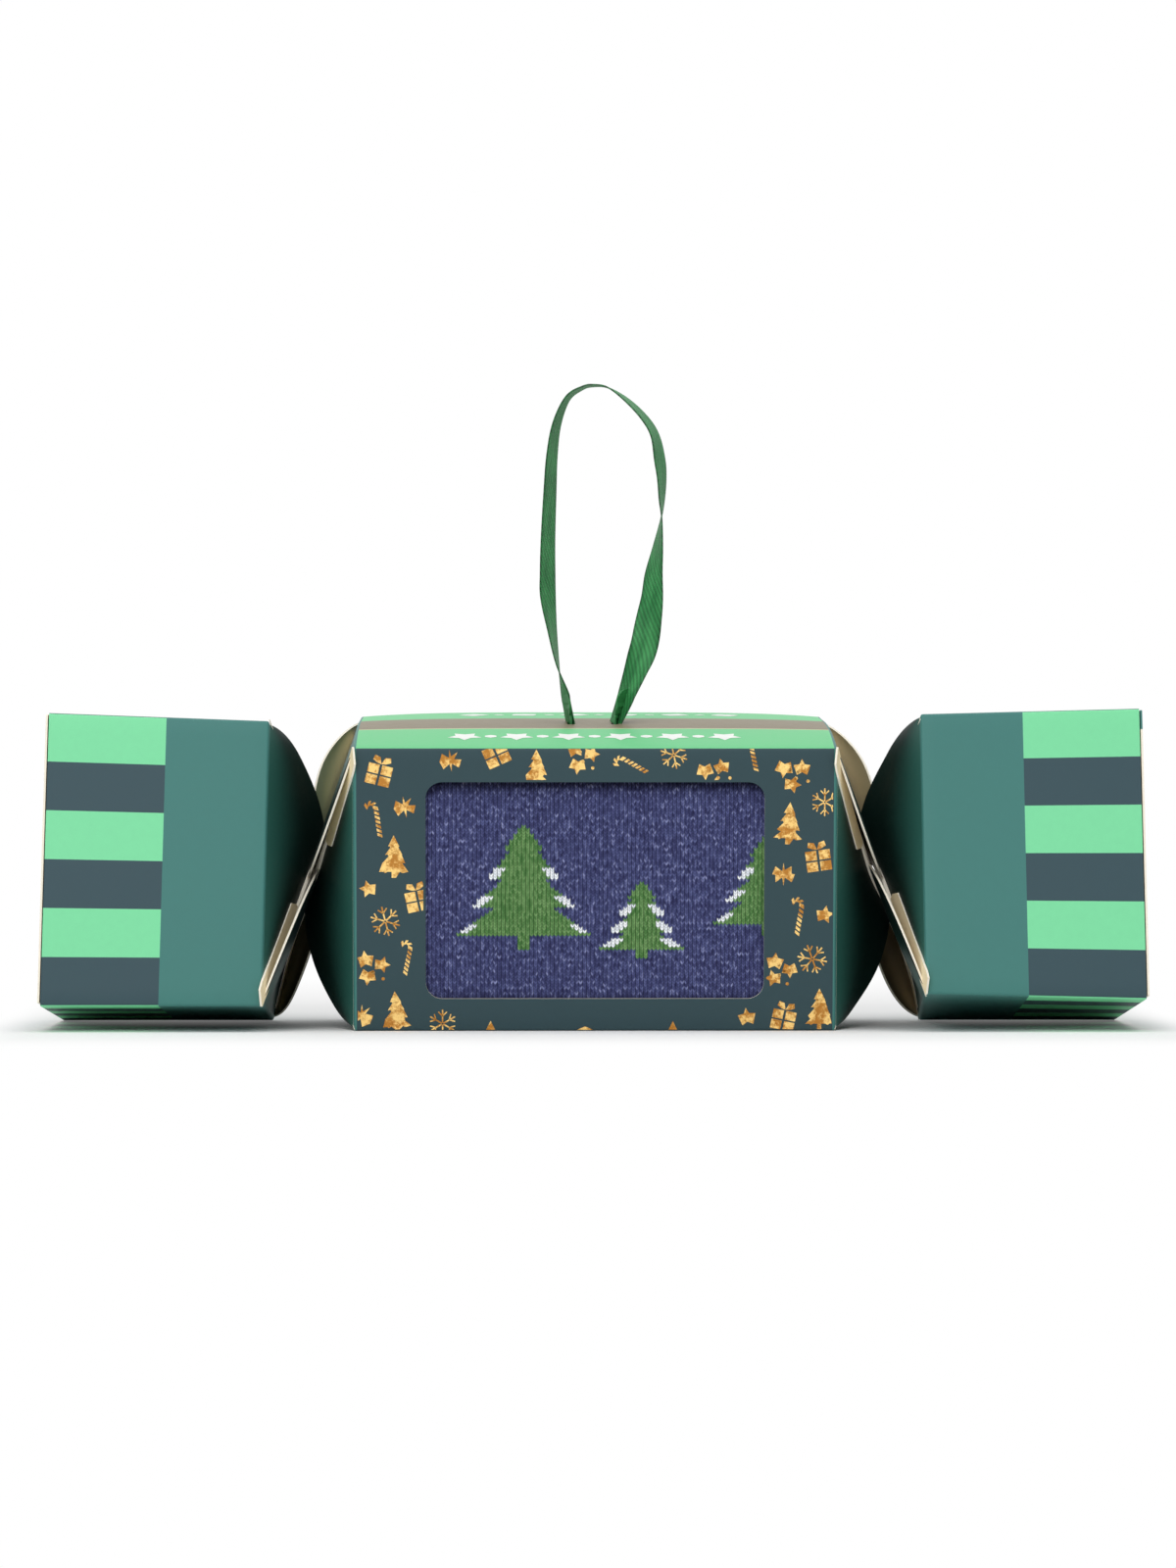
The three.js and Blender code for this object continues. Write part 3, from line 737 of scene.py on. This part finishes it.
WALLS = ("top", "front", "bottom", "back")
NECKS = [Neck("left", -1), Neck("right", 1)]
left_fold = fold_profile(-BODY_END, -1, NECKS[0])[::-1]
right_fold = fold_profile(BODY_END, 1, NECKS[1])
wall_lines = [(x, 0) for x in spaced(left_fold[-1][0], right_fold[0][0], 40)[1:-1]]
body_shell = tube("body_carton", left_fold + wall_lines + right_fold, True, BODY_PRINT, BODY)
window = rounded_outline(**WINDOW)
cutters = [cutter("window_cut", window, -HALF - 5 * MM, -HALF + 5 * MM, lambda a, b, d: (a, d, b))]
for side in (-1, 1):
    hole = rounded_outline(SLIT["width"], -SLIT["length"] / 2, SLIT["length"] / 2, 0.9 * MM, 3)
    hole = [(x + side * SLIT["spacing"] / 2, y) for x, y in hole]
    cutters.append(cutter("slit_cut", hole, HALF - 3 * MM, HALF + 6 * MM, lambda a, b, d: (a, b, d)))
cut_away(body_shell, cutters)
smooth(body_shell)
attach(body_shell, "cracker_body")
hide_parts(*(f"body_{wall}_panel" for wall in WALLS))

# End boxes

for neck in NECKS:
    side, sign = neck.side, neck.sign
    inner = fold_profile(sign * END_FOLD, -sign, neck)
    outer = [(x, 0) for x in spaced(inner[0][0], sign * RIM, 16)[1:]]
    profile = (inner[::-1] + outer)[::sign]
    shell = tube(f"{side}_end_carton", profile, False, END_PRINT, END[side])
    settle(shell, side)
    smooth(shell)
    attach(shell, f"{side}_end")
    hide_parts(*(f"{side}_end_{wall}_panel" for wall in WALLS))


# Necks: four flaps on each fold, with the sliver of the next flap that stays folded over the crease


def flap_sheet(neck, point, name, matrix, inside, crowned, bulge):
    root = FOLD_REACH / neck.lean_in
    tip, high = -HALF / 2, HALF / 2
    for _ in range(40):
        middle = (tip + high) / 2
        if neck.crease_reach(middle) > neck.petal_reach(middle):
            tip = middle
        else:
            high = middle
    last = HALF + root * neck.along[0] / neck.along[1]
    first_angle = math.asin(root / PETAL_REACH)
    tip_angle = math.acos(-tip / PETAL_WIDTH)
    columns = [-PETAL_WIDTH * math.cos(angle) for angle in spaced(first_angle, tip_angle, 22)]
    columns += spaced(tip, last, 22)[1:]
    rows = 10
    vertices = []
    for i, across in enumerate(columns):
        reach = max(min(neck.crease_reach(across), neck.petal_reach(across)), root + 0.02 * MM)
        for share in spaced(0, 1, rows):
            bow = 0.5 * MM * math.sin(math.pi * share) * math.sin(math.pi * i / (len(columns) - 1))
            if across < tip:
                beyond = (tip - across) / (tip + PETAL_WIDTH)
                bow += bulge * share * math.sin(math.pi * beyond**1.8)
            place = Vector(point(across, root + (reach - root) * share, bow))
            if crowned:
                place.y -= crown(BODY_END, -across, HALF) * (1 - share) ** 2
            vertices.append(place)
    faces = grid_faces(len(columns), rows + 1, closed=False)
    piece = mesh_piece(name, vertices, faces, [NECK_PRINT_AND_SHADE, inside, EDGE, LIP_LIT], matrix)
    shares = [share for _ in columns for share in spaced(0, 1, rows)]
    mark(piece, "reach", shares)
    outward = Vector(point(0, 0, 1)) - Vector(point(0, 0, 0))
    if piece.data.polygons[len(faces) // 2].normal.dot(outward) < 0:
        piece.data.flip_normals()
    return thickened(piece, BOARD, **BOARD_LAYERS)


def crease_ridge(neck, point, name, matrix):
    """The crushed fold along the whole crease, thickest at the waist where the panels crowd."""
    steps, around, inset = 30, 8, 0.5 * MM
    foot, further = (Vector(point(*neck.on_crease(distance, 0), 0)) for distance in (0, 1))
    along = (further - foot).normalized()
    side = along.cross(Vector((1, 0, 0))).normalized()
    up = along.cross(side)
    vertices = []
    for share in spaced(0, 1, steps):
        radius = RIDGE_RADIUS + RIDGE_SWELL * math.sin(math.pi * share) ** 2
        distance = inset + (neck.crease_length - 2 * inset) * share
        centre = Vector(point(*neck.on_crease(distance, -0.1 * MM), -0.1 * MM))
        for k in range(around):
            angle = 2 * math.pi * k / around
            vertices.append(centre + (side * math.cos(angle) + up * math.sin(angle)) * radius)
    faces = grid_faces(steps + 1, around, capped=True)
    return edging(name, vertices, faces, [], matrix)


def lip_strip(neck, point, name, matrix, start):
    """The folded-over sliver: its cream side shows, its outline ends in round corners."""
    root = 0.2 * MM
    lines, across_steps = 16, 3
    vertices = []
    for layer in (LIP_LIFT, LIP_LIFT + BOARD):
        for distance in spaced(start, LIP_LENGTH, lines):
            width = LIP_WIDTH
            for rounding, gone in (
                (LIP_WIDTH * 0.6, LIP_LENGTH - distance), (LIP_WIDTH * 0.9, distance - start)
            ):
                if gone < rounding:
                    width -= rounding * (1 - math.sqrt(1 - (1 - gone / rounding) ** 2))
            for share in spaced(0, 1, across_steps):
                offset = 0.15 * MM + width * share
                least = (root - offset * neck.into[1]) / neck.along[1]
                seat = distance if start < 0 else max(distance, least)
                vertices.append(point(*neck.on_crease(seat, offset), layer))
    grid = (lines + 1, across_steps + 1)
    count = grid[0] * grid[1]
    faces = grid_faces(*grid, closed=False)
    faces += [tuple(count + corner for corner in reversed(face)) for face in faces]
    rim = grid_rim(*grid)
    kinds = [3] * len(faces) + [2] * len(rim)
    faces += walls(rim, count + rim)
    piece = mesh_piece(name, vertices, faces, [], matrix)
    piece.data.polygons.foreach_set("material_index", kinds)
    with editing(piece.data, outwards=True) as data:
        bmesh.ops.remove_doubles(data, verts=data.verts, dist=1e-7)
    return piece


def joined(first, *others):
    """The others' meshes added to the first piece, all in world position."""
    first.data.transform(first.matrix_world)
    first.matrix_world = Matrix()
    with editing(first.data) as data:
        for piece in others:
            piece.data.transform(piece.matrix_world)
            data.from_mesh(piece.data)
            bpy.data.objects.remove(piece)
    return first


# The flaps' materials are print with painted shade, cream inside with painted shade, cut edge, and lip
# in a lighter cream as painted light; the lips and ridges take the last two
for neck in NECKS:
    for number, wall in enumerate(WALLS):
        for part, point, stand, first in (
            ("body", neck.body_point, BODY, 1),
            ("end", neck.end_point, END[neck.side], 2),
        ):
            node = f"{neck.side}_neck_{part}_flap_{wall}"
            matrix = stand @ Matrix.Rotation((number - first) * math.pi / 2, 4, "X")
            crowned = part == "body" and wall == "top"
            bulge = BACK_BULGE[part, neck.side] if wall == "back" else 0
            inside = NECK_INSIDE_SHADES[part, neck.side]
            flap = flap_sheet(neck, point, node + "_sheet", matrix, inside, crowned, bulge)
            start = LIP_START["front" if wall == "front" else "other"]
            extras = [lip_strip(neck, point, node + "_lip", matrix, start)]
            if part == "body":
                extras.append(crease_ridge(neck, point, node + "_ridge", matrix))
            flap = joined(flap, *extras)
            settle(flap, neck.side, wall if part == "body" else WALLS[number - 1])
            smooth(flap, 40)
            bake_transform(flap)
            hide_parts(node)


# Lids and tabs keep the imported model's shapes and get print, cream and cut edges


def board_piece(node, outward, printed, body, hinge=None, pinched=False):
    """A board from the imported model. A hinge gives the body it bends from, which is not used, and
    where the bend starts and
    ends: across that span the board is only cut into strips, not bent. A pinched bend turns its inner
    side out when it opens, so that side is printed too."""
    mesh = finished(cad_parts[node].data.copy(), printed, INSIDE, EDGE)
    for face in mesh.polygons:
        facing = face.normal.dot(outward)
        face.material_index = 0 if facing > 0.6 else 1 if facing < -0.6 else 2
    if hinge:
        carrier, start, end = hinge
        fold = end - start
        with editing(mesh) as data:
            for cut in spaced(0, 1, 6):
                geometry = [*data.verts, *data.edges, *data.faces]
                place = start + fold * cut
                bmesh.ops.bisect_plane(data, geom=geometry, plane_co=place, plane_no=fold)
            for face in data.faces:
                if pinched and (end - face.calc_center_median()).dot(fold) > 0:
                    face.material_index = 0
    piece = new_piece(node + "_board", mesh)
    if body != "cracker_body":
        settle(piece, node.split("_")[0])
    piece.data.shade_flat()
    if hinge:
        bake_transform(piece)
        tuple(start)
        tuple(end)
    else:
        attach(piece, body)
    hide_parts(node)


for side, sign in (("left", -1), ("right", 1)):
    box, end, lid = END[side], f"{side}_end", f"{side}_lid_board"
    outward, up = Vector((sign, 0, 0)), box.to_3x3() @ Vector((0, 0, 1))
    forwards = box.to_3x3() @ Vector((0, -1, 0))
    rim, top = sign * RIM, HALF + SETTLING[side]["top"][1] * MM
    bend = (end, box @ Vector((rim, 0, top)), box @ Vector((rim, 0, HALF - LID_BEND)))
    board_piece(f"{side}_lid", outward, TAB_PRINT, lid, bend, side == "right")
    before, after = rim + sign * TUCK_BEND[0], rim - sign * TUCK_BEND[1]
    bend = (lid, box @ Vector((before, 0, -HALF)), box @ Vector((after, 0, -HALF)))
    board_piece(f"{side}_tuck_tab", -up, TAB_PRINT, f"{side}_tuck", bend)
    for wall, y in (("front", -HALF), ("back", HALF)):
        bend = (end, box @ Vector((rim, y, 0)), box @ Vector((rim, y * DUST_BEND, 0)))
        name = f"{side}_dust_flap_{wall}"
        board_piece(name, outward, TAB_PRINT, f"{side}_dust_{wall}", bend)
    board_piece(f"{side}_end_glue_flap", forwards, INSIDE, end)
board_piece("body_glue_flap", BODY.to_3x3() @ Vector((0, -1, 0)), INSIDE, "cracker_body")


# Foil ornaments on the front, in millimetres: centre (x, z), kind, height and turn in degrees


def rotated(outlines, degrees, scale, centre):
    x, y = centre
    c, s = math.cos(math.radians(degrees)) * scale, math.sin(math.radians(degrees)) * scale
    return [[(x + a * c - b * s, y + a * s + b * c) for a, b in line] for line in outlines]


def star(points, inner, radius=0.5, centre=(0, 0), turn=0):
    outline = []
    for k in range(2 * points):
        angle = math.pi / 2 + math.pi * k / points + math.radians(turn)
        size = radius if k % 2 == 0 else radius * inner
        outline.append((centre[0] + size * math.cos(angle), centre[1] + size * math.sin(angle)))
    return outline


def bar(start, end, width):
    a, b = Vector(start), Vector(end)
    side = (b - a).normalized().orthogonal() * width / 2
    return [tuple(a + side), tuple(a - side), tuple(b - side), tuple(b + side)]


def star_cluster():
    stars = [(0.26, (-0.2, 0.24), 8), (0.24, (0.27, 0.1), -20), (0.25, (-0.13, -0.24), 30)]
    dots = [(0.12, 0.03), (-0.06, 0.16), (0.02, -0.12), (0.3, -0.3)]
    return [star(5, 0.5, *one) for one in stars] + [star(6, 0.9, 0.05, dot) for dot in dots]


def fir_tree():
    right = [(0.0, 0.5)]
    for tier in range(4):
        bottom = 0.24 - tier * 0.2
        reach = 0.13 + tier * 0.07
        right += [(reach, bottom), (reach * 0.72, bottom + 0.012), (reach * 0.6, bottom - 0.03)]
        right += [(reach * 0.42, bottom + 0.004)]
    right += [(0.05, -0.36), (0.05, -0.5)]
    return [right + [(-x, z) for x, z in reversed(right[1:])]]


def snowflake():
    arm = [bar((0, 0.03), (0, 0.5), 0.05)]
    arm += [bar((0, 0.27), (x, 0.42), 0.045) for x in (0.15, -0.15)]
    return [line for k in range(6) for line in rotated(arm, 60 * k, 1, (0, 0))]


def gift_box():
    quarters = [(-0.4, -0.5), (0.04, -0.5), (-0.4, -0.14), (0.04, -0.14)]
    boxes = [[(x, z), (x + 0.36, z), (x + 0.36, z + 0.31), (x, z + 0.31)] for x, z in quarters]
    bow = [[(0, 0.2), (0.08, 0.42), (0.26, 0.46), (0.3, 0.3), (0.14, 0.22)]]
    bow += [[(-x, z) for x, z in reversed(bow[0])]]
    return boxes + bow


def candy_cane():
    path = [(0.1, -0.5 + 0.115 * k) for k in range(7)]
    path += [(0.1 - 0.14 * (1 - math.cos(a)), 0.26 + 0.16 * math.sin(a)) for a in (0.6, 1.3, 2.1, 2.9)]
    dashes = []
    for a, b in zip(path, path[1:]):
        m, along = (Vector(a) + Vector(b)) / 2, (Vector(b) - Vector(a)) * 0.32
        side = along.normalized().orthogonal() * 0.06
        slant = along.normalized() * 0.035
        corners = (m - along + side + slant, m - along - side - slant)
        corners += (m + along - side - slant, m + along + side + slant)
        dashes.append([tuple(corner) for corner in corners])
    return dashes


SHAPES = {
    "cluster": star_cluster(),
    "fir": fir_tree(),
    "snow": snowflake(),
    "gift": gift_box(),
    "cane": candy_cane(),
    "burst": [star(8, 0.3)],
    "star": [star(5, 0.5)],
}
# For each border of the front: its limits (low x, high x, low z, high z) and what it holds
ORNAMENTS = [
    ((-58.2, -42.1, -34.6, 34.6), [
        (-52.6, 29.5, "gift", 7.5, -14), (-54.2, 17.5, "cane", 9.5, 8), (-46.6, 20.4, "burst", 5.4, 10),
        (-49.3, 8.2, "fir", 10.5, 0), (-55.6, 0.2, "star", 4.4, 14), (-43.6, -1.6, "gift", 7.4, 12),
        (-51.4, -7.8, "snow", 7.4, 14), (-54.6, -19.4, "cluster", 8.8, 0),
        (-46.6, -16.6, "cane", 8.8, -12), (-48.8, -30.2, "fir", 10.2, 4),
        (-57.2, -31.2, "burst", 5.6, 0),
    ]),
    ((42.1, 58.2, -34.6, 34.6), [
        (48.6, 28.4, "cluster", 9, 20), (56.2, 21.6, "snow", 6.8, 0), (47.4, 16.4, "fir", 10.4, -4),
        (54.6, 8.4, "gift", 7.6, 8), (46.2, 3.8, "burst", 5.6, 0), (49.4, -6.4, "cane", 9.6, -10),
        (56.4, -6.2, "star", 4.6, -10), (53.4, -17.2, "snow", 7.4, 20),
        (45.4, -20.2, "cluster", 8.6, -14), (55.2, -29.6, "fir", 10.2, 0),
        (46.6, -31.2, "gift", 7.2, -12),
    ]),
    ((-58.2, 58.2, 27.1, 34.7), [
        (-35.4, 31.8, "burst", 5.4, 6), (-24.6, 34.2, "gift", 7.4, 24), (-14.4, 29.8, "fir", 9.6, 0),
        (-3.2, 32.6, "cluster", 8.6, 0), (8.4, 30.4, "cane", 9, 60), (19.2, 33.2, "snow", 6.8, 12),
        (29.4, 28.4, "cluster", 8.6, 32), (37.6, 33.4, "cane", 9, 12),
    ]),
    ((-58.2, 58.2, -34.7, -27.5), [
        (-37.4, -33.2, "snow", 7, 0), (-25.6, -37.4, "fir", 9.8, 0), (-2.4, -36.6, "burst", 5.4, 0),
        (19.2, -37.6, "fir", 10, 0), (37.4, -31.6, "star", 4.6, 8),
    ]),
]


def printed_shapes(name, outlines, place, material):
    """Flat shapes laid a hair above a panel: outlines as (a, b), place puts them on the panel."""
    mesh = finished(bpy.data.meshes.new(name), material)
    with editing(mesh) as data:
        for outline in outlines:
            if len(outline) > 2:
                data.faces.new([data.verts.new(place(a, b)) for a, b in outline])
        bmesh.ops.triangulate(data, faces=data.faces)
    piece = thickened(new_piece(name, mesh, BODY), INK, offset=0)
    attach(piece, "cracker_body")


def clipped(outline, low_x, high_x, low_z, high_z):
    """The part of an outline inside a rectangle."""
    for axis, limit, keep in ((0, low_x, 1), (0, high_x, -1), (1, low_z, 1), (1, high_z, -1)):
        kept = []
        for k, point in enumerate(outline):
            before = outline[k - 1]
            inside = (point[axis] - limit) * keep >= 0
            if inside != ((before[axis] - limit) * keep >= 0):
                share = (limit - before[axis]) / (point[axis] - before[axis])
                kept.append(tuple(before[n] + (point[n] - before[n]) * share for n in (0, 1)))
            if inside:
                kept.append(point)
        outline = kept
    return outline


foil_outlines = [
    clipped(outline, *limits)
    for limits, ornaments in ORNAMENTS
    for x, z, kind, size, turn in ornaments
    for outline in rotated(SHAPES[kind], turn, size, (x, z))
]
FRONT = -HALF - INK / 2
printed_shapes("foil_ornaments", foil_outlines, lambda a, b: (a * MM, FRONT, b * MM), FOIL)

# White stars and dots on the green bands of the top
white_outlines = []
for k in range(11):
    x = -32 + 6.4 * k
    size, shape = (3.2, star(6, 0.9)) if k % 2 else (8.6, star(5, 0.56, turn=180))
    white_outlines += rotated([shape], 0, size, (x, -23.2))
    white_outlines += rotated([star(4, 0.8, 0.5)], 20 * k, size * 0.9, (x + 2, 24.5))


def on_top(a, b):
    x, y = a * MM, b * MM
    return x, y, HALF + crown(x, y, HALF) + 1.5 * INK


printed_shapes("white_stars", white_outlines, on_top, WHITE)

# Knitted socks


def tree(i, j, centre, foot, height):
    """Yarn of a knitted fir tree at stitch (i, j): 0 ground, 1 green, 2 snow on the boughs' tips."""
    up = j - foot
    if up < 0 or up >= height:
        return 0
    across = abs(i - centre)
    trunk = height // 8
    if up < trunk:
        return 1 if across <= 1 else 0
    tiers = 4
    share = (height - trunk) / tiers
    tier = int((up - trunk) / share)
    within = (up - trunk) - tier * share
    slope = 1.6 if tier < tiers - 1 else 1.0
    reach = (height * 0.38 * (1 - tier / (tiers + 0.4))) * (1 - within / (share * slope))
    if across > reach:
        return 0
    return 2 if across > reach - 2.4 and within < 4 and tier < tiers - 1 and up > trunk else 1


def yarn_at(i, j):
    trees = ((-18, -22, 44), (11, -25, 27), (42, -17, 36))
    return next(filter(None, (tree(i, j, *one) for one in trees)), 0)


def stitch_height(off_centre, v):
    """Height of a stitch's leg: round across the wale and along the yarn."""
    across = np.clip(1 - (np.abs(off_centre - 0.26) / 0.26) ** 2, 0, 1)
    along = np.clip(1 - (np.abs(v - 0.5) * 1.9) ** 4, 0, 1)
    return np.sqrt(across) * (0.5 + 0.5 * along)


SOCK = dict(
    left=-54 * MM, right=54 * MM, bottom=-33.2 * MM, top=27.8 * MM, front=-33.8 * MM, back=1 * MM
)


def knitted_sock():
    across, up = 5, 4
    columns = int(round((SOCK["right"] - SOCK["left"]) / WALE)) * across
    rows = int(round((SOCK["top"] - SOCK["bottom"]) / COURSE)) * up
    x = np.linspace(SOCK["left"], SOCK["right"], columns + 1)
    z = np.linspace(SOCK["bottom"], SOCK["top"], rows + 1)
    grid_x, grid_z = np.meshgrid(x, z, indexing="ij")
    beside = np.minimum(grid_x - SOCK["left"], SOCK["right"] - grid_x)
    edge = np.minimum(beside, np.minimum(grid_z - SOCK["bottom"], SOCK["top"] - grid_z))
    roll = 7 * MM
    share = np.clip(1 - edge / roll, 0, 1)
    depth = roll * 1.5 * (1 - np.sqrt(np.clip(1 - share**2, 0, 1)))
    wave = 0.35 * MM * np.sin(grid_x / (17 * MM) + 0.6) * np.cos(grid_z / (13 * MM))
    off_centre = np.abs((grid_x / WALE) % 1 - 0.5)
    stitch = stitch_height(off_centre, (grid_z / COURSE - off_centre * STITCH_SLANT) % 1)
    y = SOCK["front"] + 0.55 * MM + wave + depth - 0.22 * MM * stitch
    vertices = np.stack([grid_x, y, grid_z], -1).reshape(-1, 3)
    grid = (columns + 1, rows + 1)
    faces = [(a, d, c, b) for a, b, c, d in grid_faces(*grid, closed=False)]
    rim = grid_rim(*grid)
    back = len(vertices) + np.arange(len(rim))
    behind = vertices[rim] * (1, 0, 1) + (0, SOCK["back"], 0)
    faces += walls(rim, back) + [back[::-1].tolist()]
    piece = mesh_piece("front_sock", [*vertices.tolist(), *behind.tolist()], faces, [KNIT], BODY)
    values = []
    for face in piece.data.polygons:
        wale = face.center.x / WALE
        slant = abs(wale % 1 - 0.5) * STITCH_SLANT
        values.append(yarn_at(math.floor(wale), math.floor(face.center.z / COURSE - slant)))
    mark(piece, "yarn", values, "FACE")
    piece.data.shade_smooth()
    return piece


front_sock = knitted_sock()
back_sock = new_piece("back_sock", finished(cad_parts["folded_sock_back"].data.copy(), KNIT))
smooth(back_sock, 60)
for sock, node in ((front_sock, "folded_sock_front"), (back_sock, "folded_sock_back")):
    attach(sock, "cracker_body")
    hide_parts(node)

# Ribbon


LOOP_ROUTE = [
    (-5.6, 0.64, -5.45, -16), (-6.7, 0, 0.3, -15), (-7.1, -0.1, 2.5, -14), (-8.9, -0.2, 9.6, 6),
    (-10.3, -0.3, 18.4, 20), (-11.3, -0.5, 26.4, 34), (-11.4, -0.6, 32.2, 34), (-11.3, -0.7, 41, 31),
    (-10.8, -0.9, 53.1, 27), (-10.3, -1.1, 62, 23), (-9.1, -1.2, 69.8, 17), (-6.4, -1.3, 76.2, 9),
    (-2.7, -1.4, 78.8, 3), (0, -1.4, 79.4, 0), (3.7, -1.4, 78.9, -4), (8.4, -1.3, 75.8, -12),
    (12.8, -1.3, 71.4, -17), (15.5, -1.2, 66.9, -20), (16.7, -1.1, 60.8, -25), (17.2, -1, 56, -20),
    (17.2, -0.9, 50.6, -12), (17.1, -0.8, 46.2, 0), (16.2, -0.7, 38.8, 20), (15.2, -0.6, 32.2, 38),
    (14.8, -0.5, 26.4, 50), (14, -0.4, 21, 66), (12.8, -0.3, 14.2, 85), (10.8, -0.2, 8.4, 57),
    (8.6, -0.1, 2.5, 39), (7.8, 0, 0.3, 35), (5.5, 0.64, -5.45, 23),
]
PIVOT = BODY @ Vector((0, 0, HALF + 2.6 * MM + RIBBON_PIVOT))


def through(values, t):
    """A smooth curve through the rows of values, at t counted in rows."""
    i = min(int(t), len(values) - 2)
    f = t - i
    p1, p2 = values[i], values[i + 1]
    p0 = values[i - 1] if i > 0 else 2 * p1 - p2
    p3 = values[i + 2] if i + 2 < len(values) else 2 * p2 - p1
    squared, cubed = 2 * p0 - 5 * p1 + 4 * p2 - p3, 3 * p1 - p0 - 3 * p2 + p3
    return 0.5 * (2 * p1 + (p2 - p0) * f + squared * f**2 + cubed * f**3)


def ribbon_band(name, route, per_point):
    """A flat woven band with rounded selvedges, swept along a route and rolled about it."""
    rows = np.array(route, float)
    rows[:, :3] *= MM
    steps = (len(rows) - 1) * per_point
    places = np.array([through(rows, step / per_point) for step in range(steps + 1)])
    centres, rolls = np.array(PIVOT) + places[:, :3], np.radians(places[:, 3])
    travelled = np.append(0, np.cumsum(np.linalg.norm(np.diff(centres, axis=0), axis=1)))
    tangents = np.gradient(centres, axis=0)
    tangents /= np.linalg.norm(tangents, axis=1)[:, None]
    half, thick = RIBBON_WIDTH / 2, RIBBON_THICKNESS / 2
    selvedge = [(-half, 0.35 * thick), (-0.94 * half, 1.25 * thick)]
    rising = selvedge + [(-0.7 * half, thick), (-0.35 * half, thick)]
    upper = rising + [(0, thick)] + [(-a, b) for a, b in reversed(rising)]
    section = upper + [(a, -b) for a, b in reversed(upper)]
    vertices, along_values, across_values = [], [], []
    for centre, tangent, roll, distance in zip(centres, tangents, rolls, travelled):
        depth = np.array([0, 1, 0]) - tangent * tangent[1]
        depth /= np.linalg.norm(depth)
        sideways = np.cross(depth, tangent)
        width = depth * math.cos(roll) + sideways * math.sin(roll)
        normal = np.cross(tangent, width)
        for a, b in section:
            vertices.append(centre + width * a + normal * b)
            along_values.append(distance / MM)
            across_values.append(a / MM)
    faces = grid_faces(steps + 1, len(section), capped=True)
    piece = mesh_piece(name, vertices, faces, [SATIN])
    mark(piece, "along", along_values)
    mark(piece, "across", across_values)
    smooth(piece, 50)
    return piece, centres, float(travelled[-1])


ribbon, ribbon_path, ribbon_length = ribbon_band("ribbon_loop", LOOP_ROUTE, 8)
bend = [PIVOT + Vector((0, 0, height * MM)) for height in (-3, 9)]
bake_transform(ribbon)
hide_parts("hanging_loop")
tuple(ribbon_path[0])
[tuple(p) for p in ribbon_path]

finished(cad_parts["ribbon_knot"].data, SATIN)

# Floor, lights and camera

corners = [(-6, -6, 0), (6, -6, 0), (6, 6, 0), (-6, 6, 0)]
mesh_piece("floor", corners, [(0, 1, 2, 3)], [stage_floor()])


def softbox(name, location, target, size, power):
    light = bpy.data.lights.new(name, "AREA")
    light.shape = "RECTANGLE"
    light.size, light.size_y = size
    light.energy = power
    lamp = bpy.data.objects.new(name, light)
    lamp.location = location
    lamp.rotation_euler = (Vector(target) - Vector(location)).to_track_quat("-Z", "Y").to_euler()
    bpy.context.scene.collection.objects.link(lamp)


softbox("overhead_softbox", (0, -0.25, 1.3), (0, 0, 0.03), (1.6, 1.1), 10)
softbox("front_softbox", (-0.5, -1.7, 0.9), (0, 0, 0.05), (1.2, 1.0), 11.5)

# The world lights softly, and shows white to the camera and in what mirrors or bends light
studio = Finish("studio", bpy.data.worlds.new("studio"))
bpy.context.scene.world = studio.material
camera_ray, glossy_ray, transmission_ray = (
    studio.node("ShaderNodeLightPath", output=f"Is {kind} Ray")
    for kind in ("Camera", "Glossy", "Transmission")
)
seen = camera_ray | glossy_ray | transmission_ray
soft, bright = (
    studio.node("ShaderNodeBackground", inputs={"Color": (1, 1, 1, 1), "Strength": strength})
    for strength in (0.35, 1.0)
)
backdrop = studio.node("ShaderNodeMixShader", inputs={0: seen, 1: soft, 2: bright})
studio.node("ShaderNodeOutputWorld", inputs={"Surface": backdrop})

lens = bpy.data.cameras.new("photo_camera")
lens.sensor_width = 36
lens.lens = 120.6
lens.clip_start = 0.05
camera = bpy.data.objects.new("photo_camera", lens)
camera.location = (-0.0215, -1.322, 0.0573)
camera.rotation_euler = (math.radians(90.15), 0, math.radians(-0.88))
bpy.context.scene.collection.objects.link(camera)
bpy.context.scene.camera = camera
bpy.context.scene.view_settings.view_transform = "Standard"
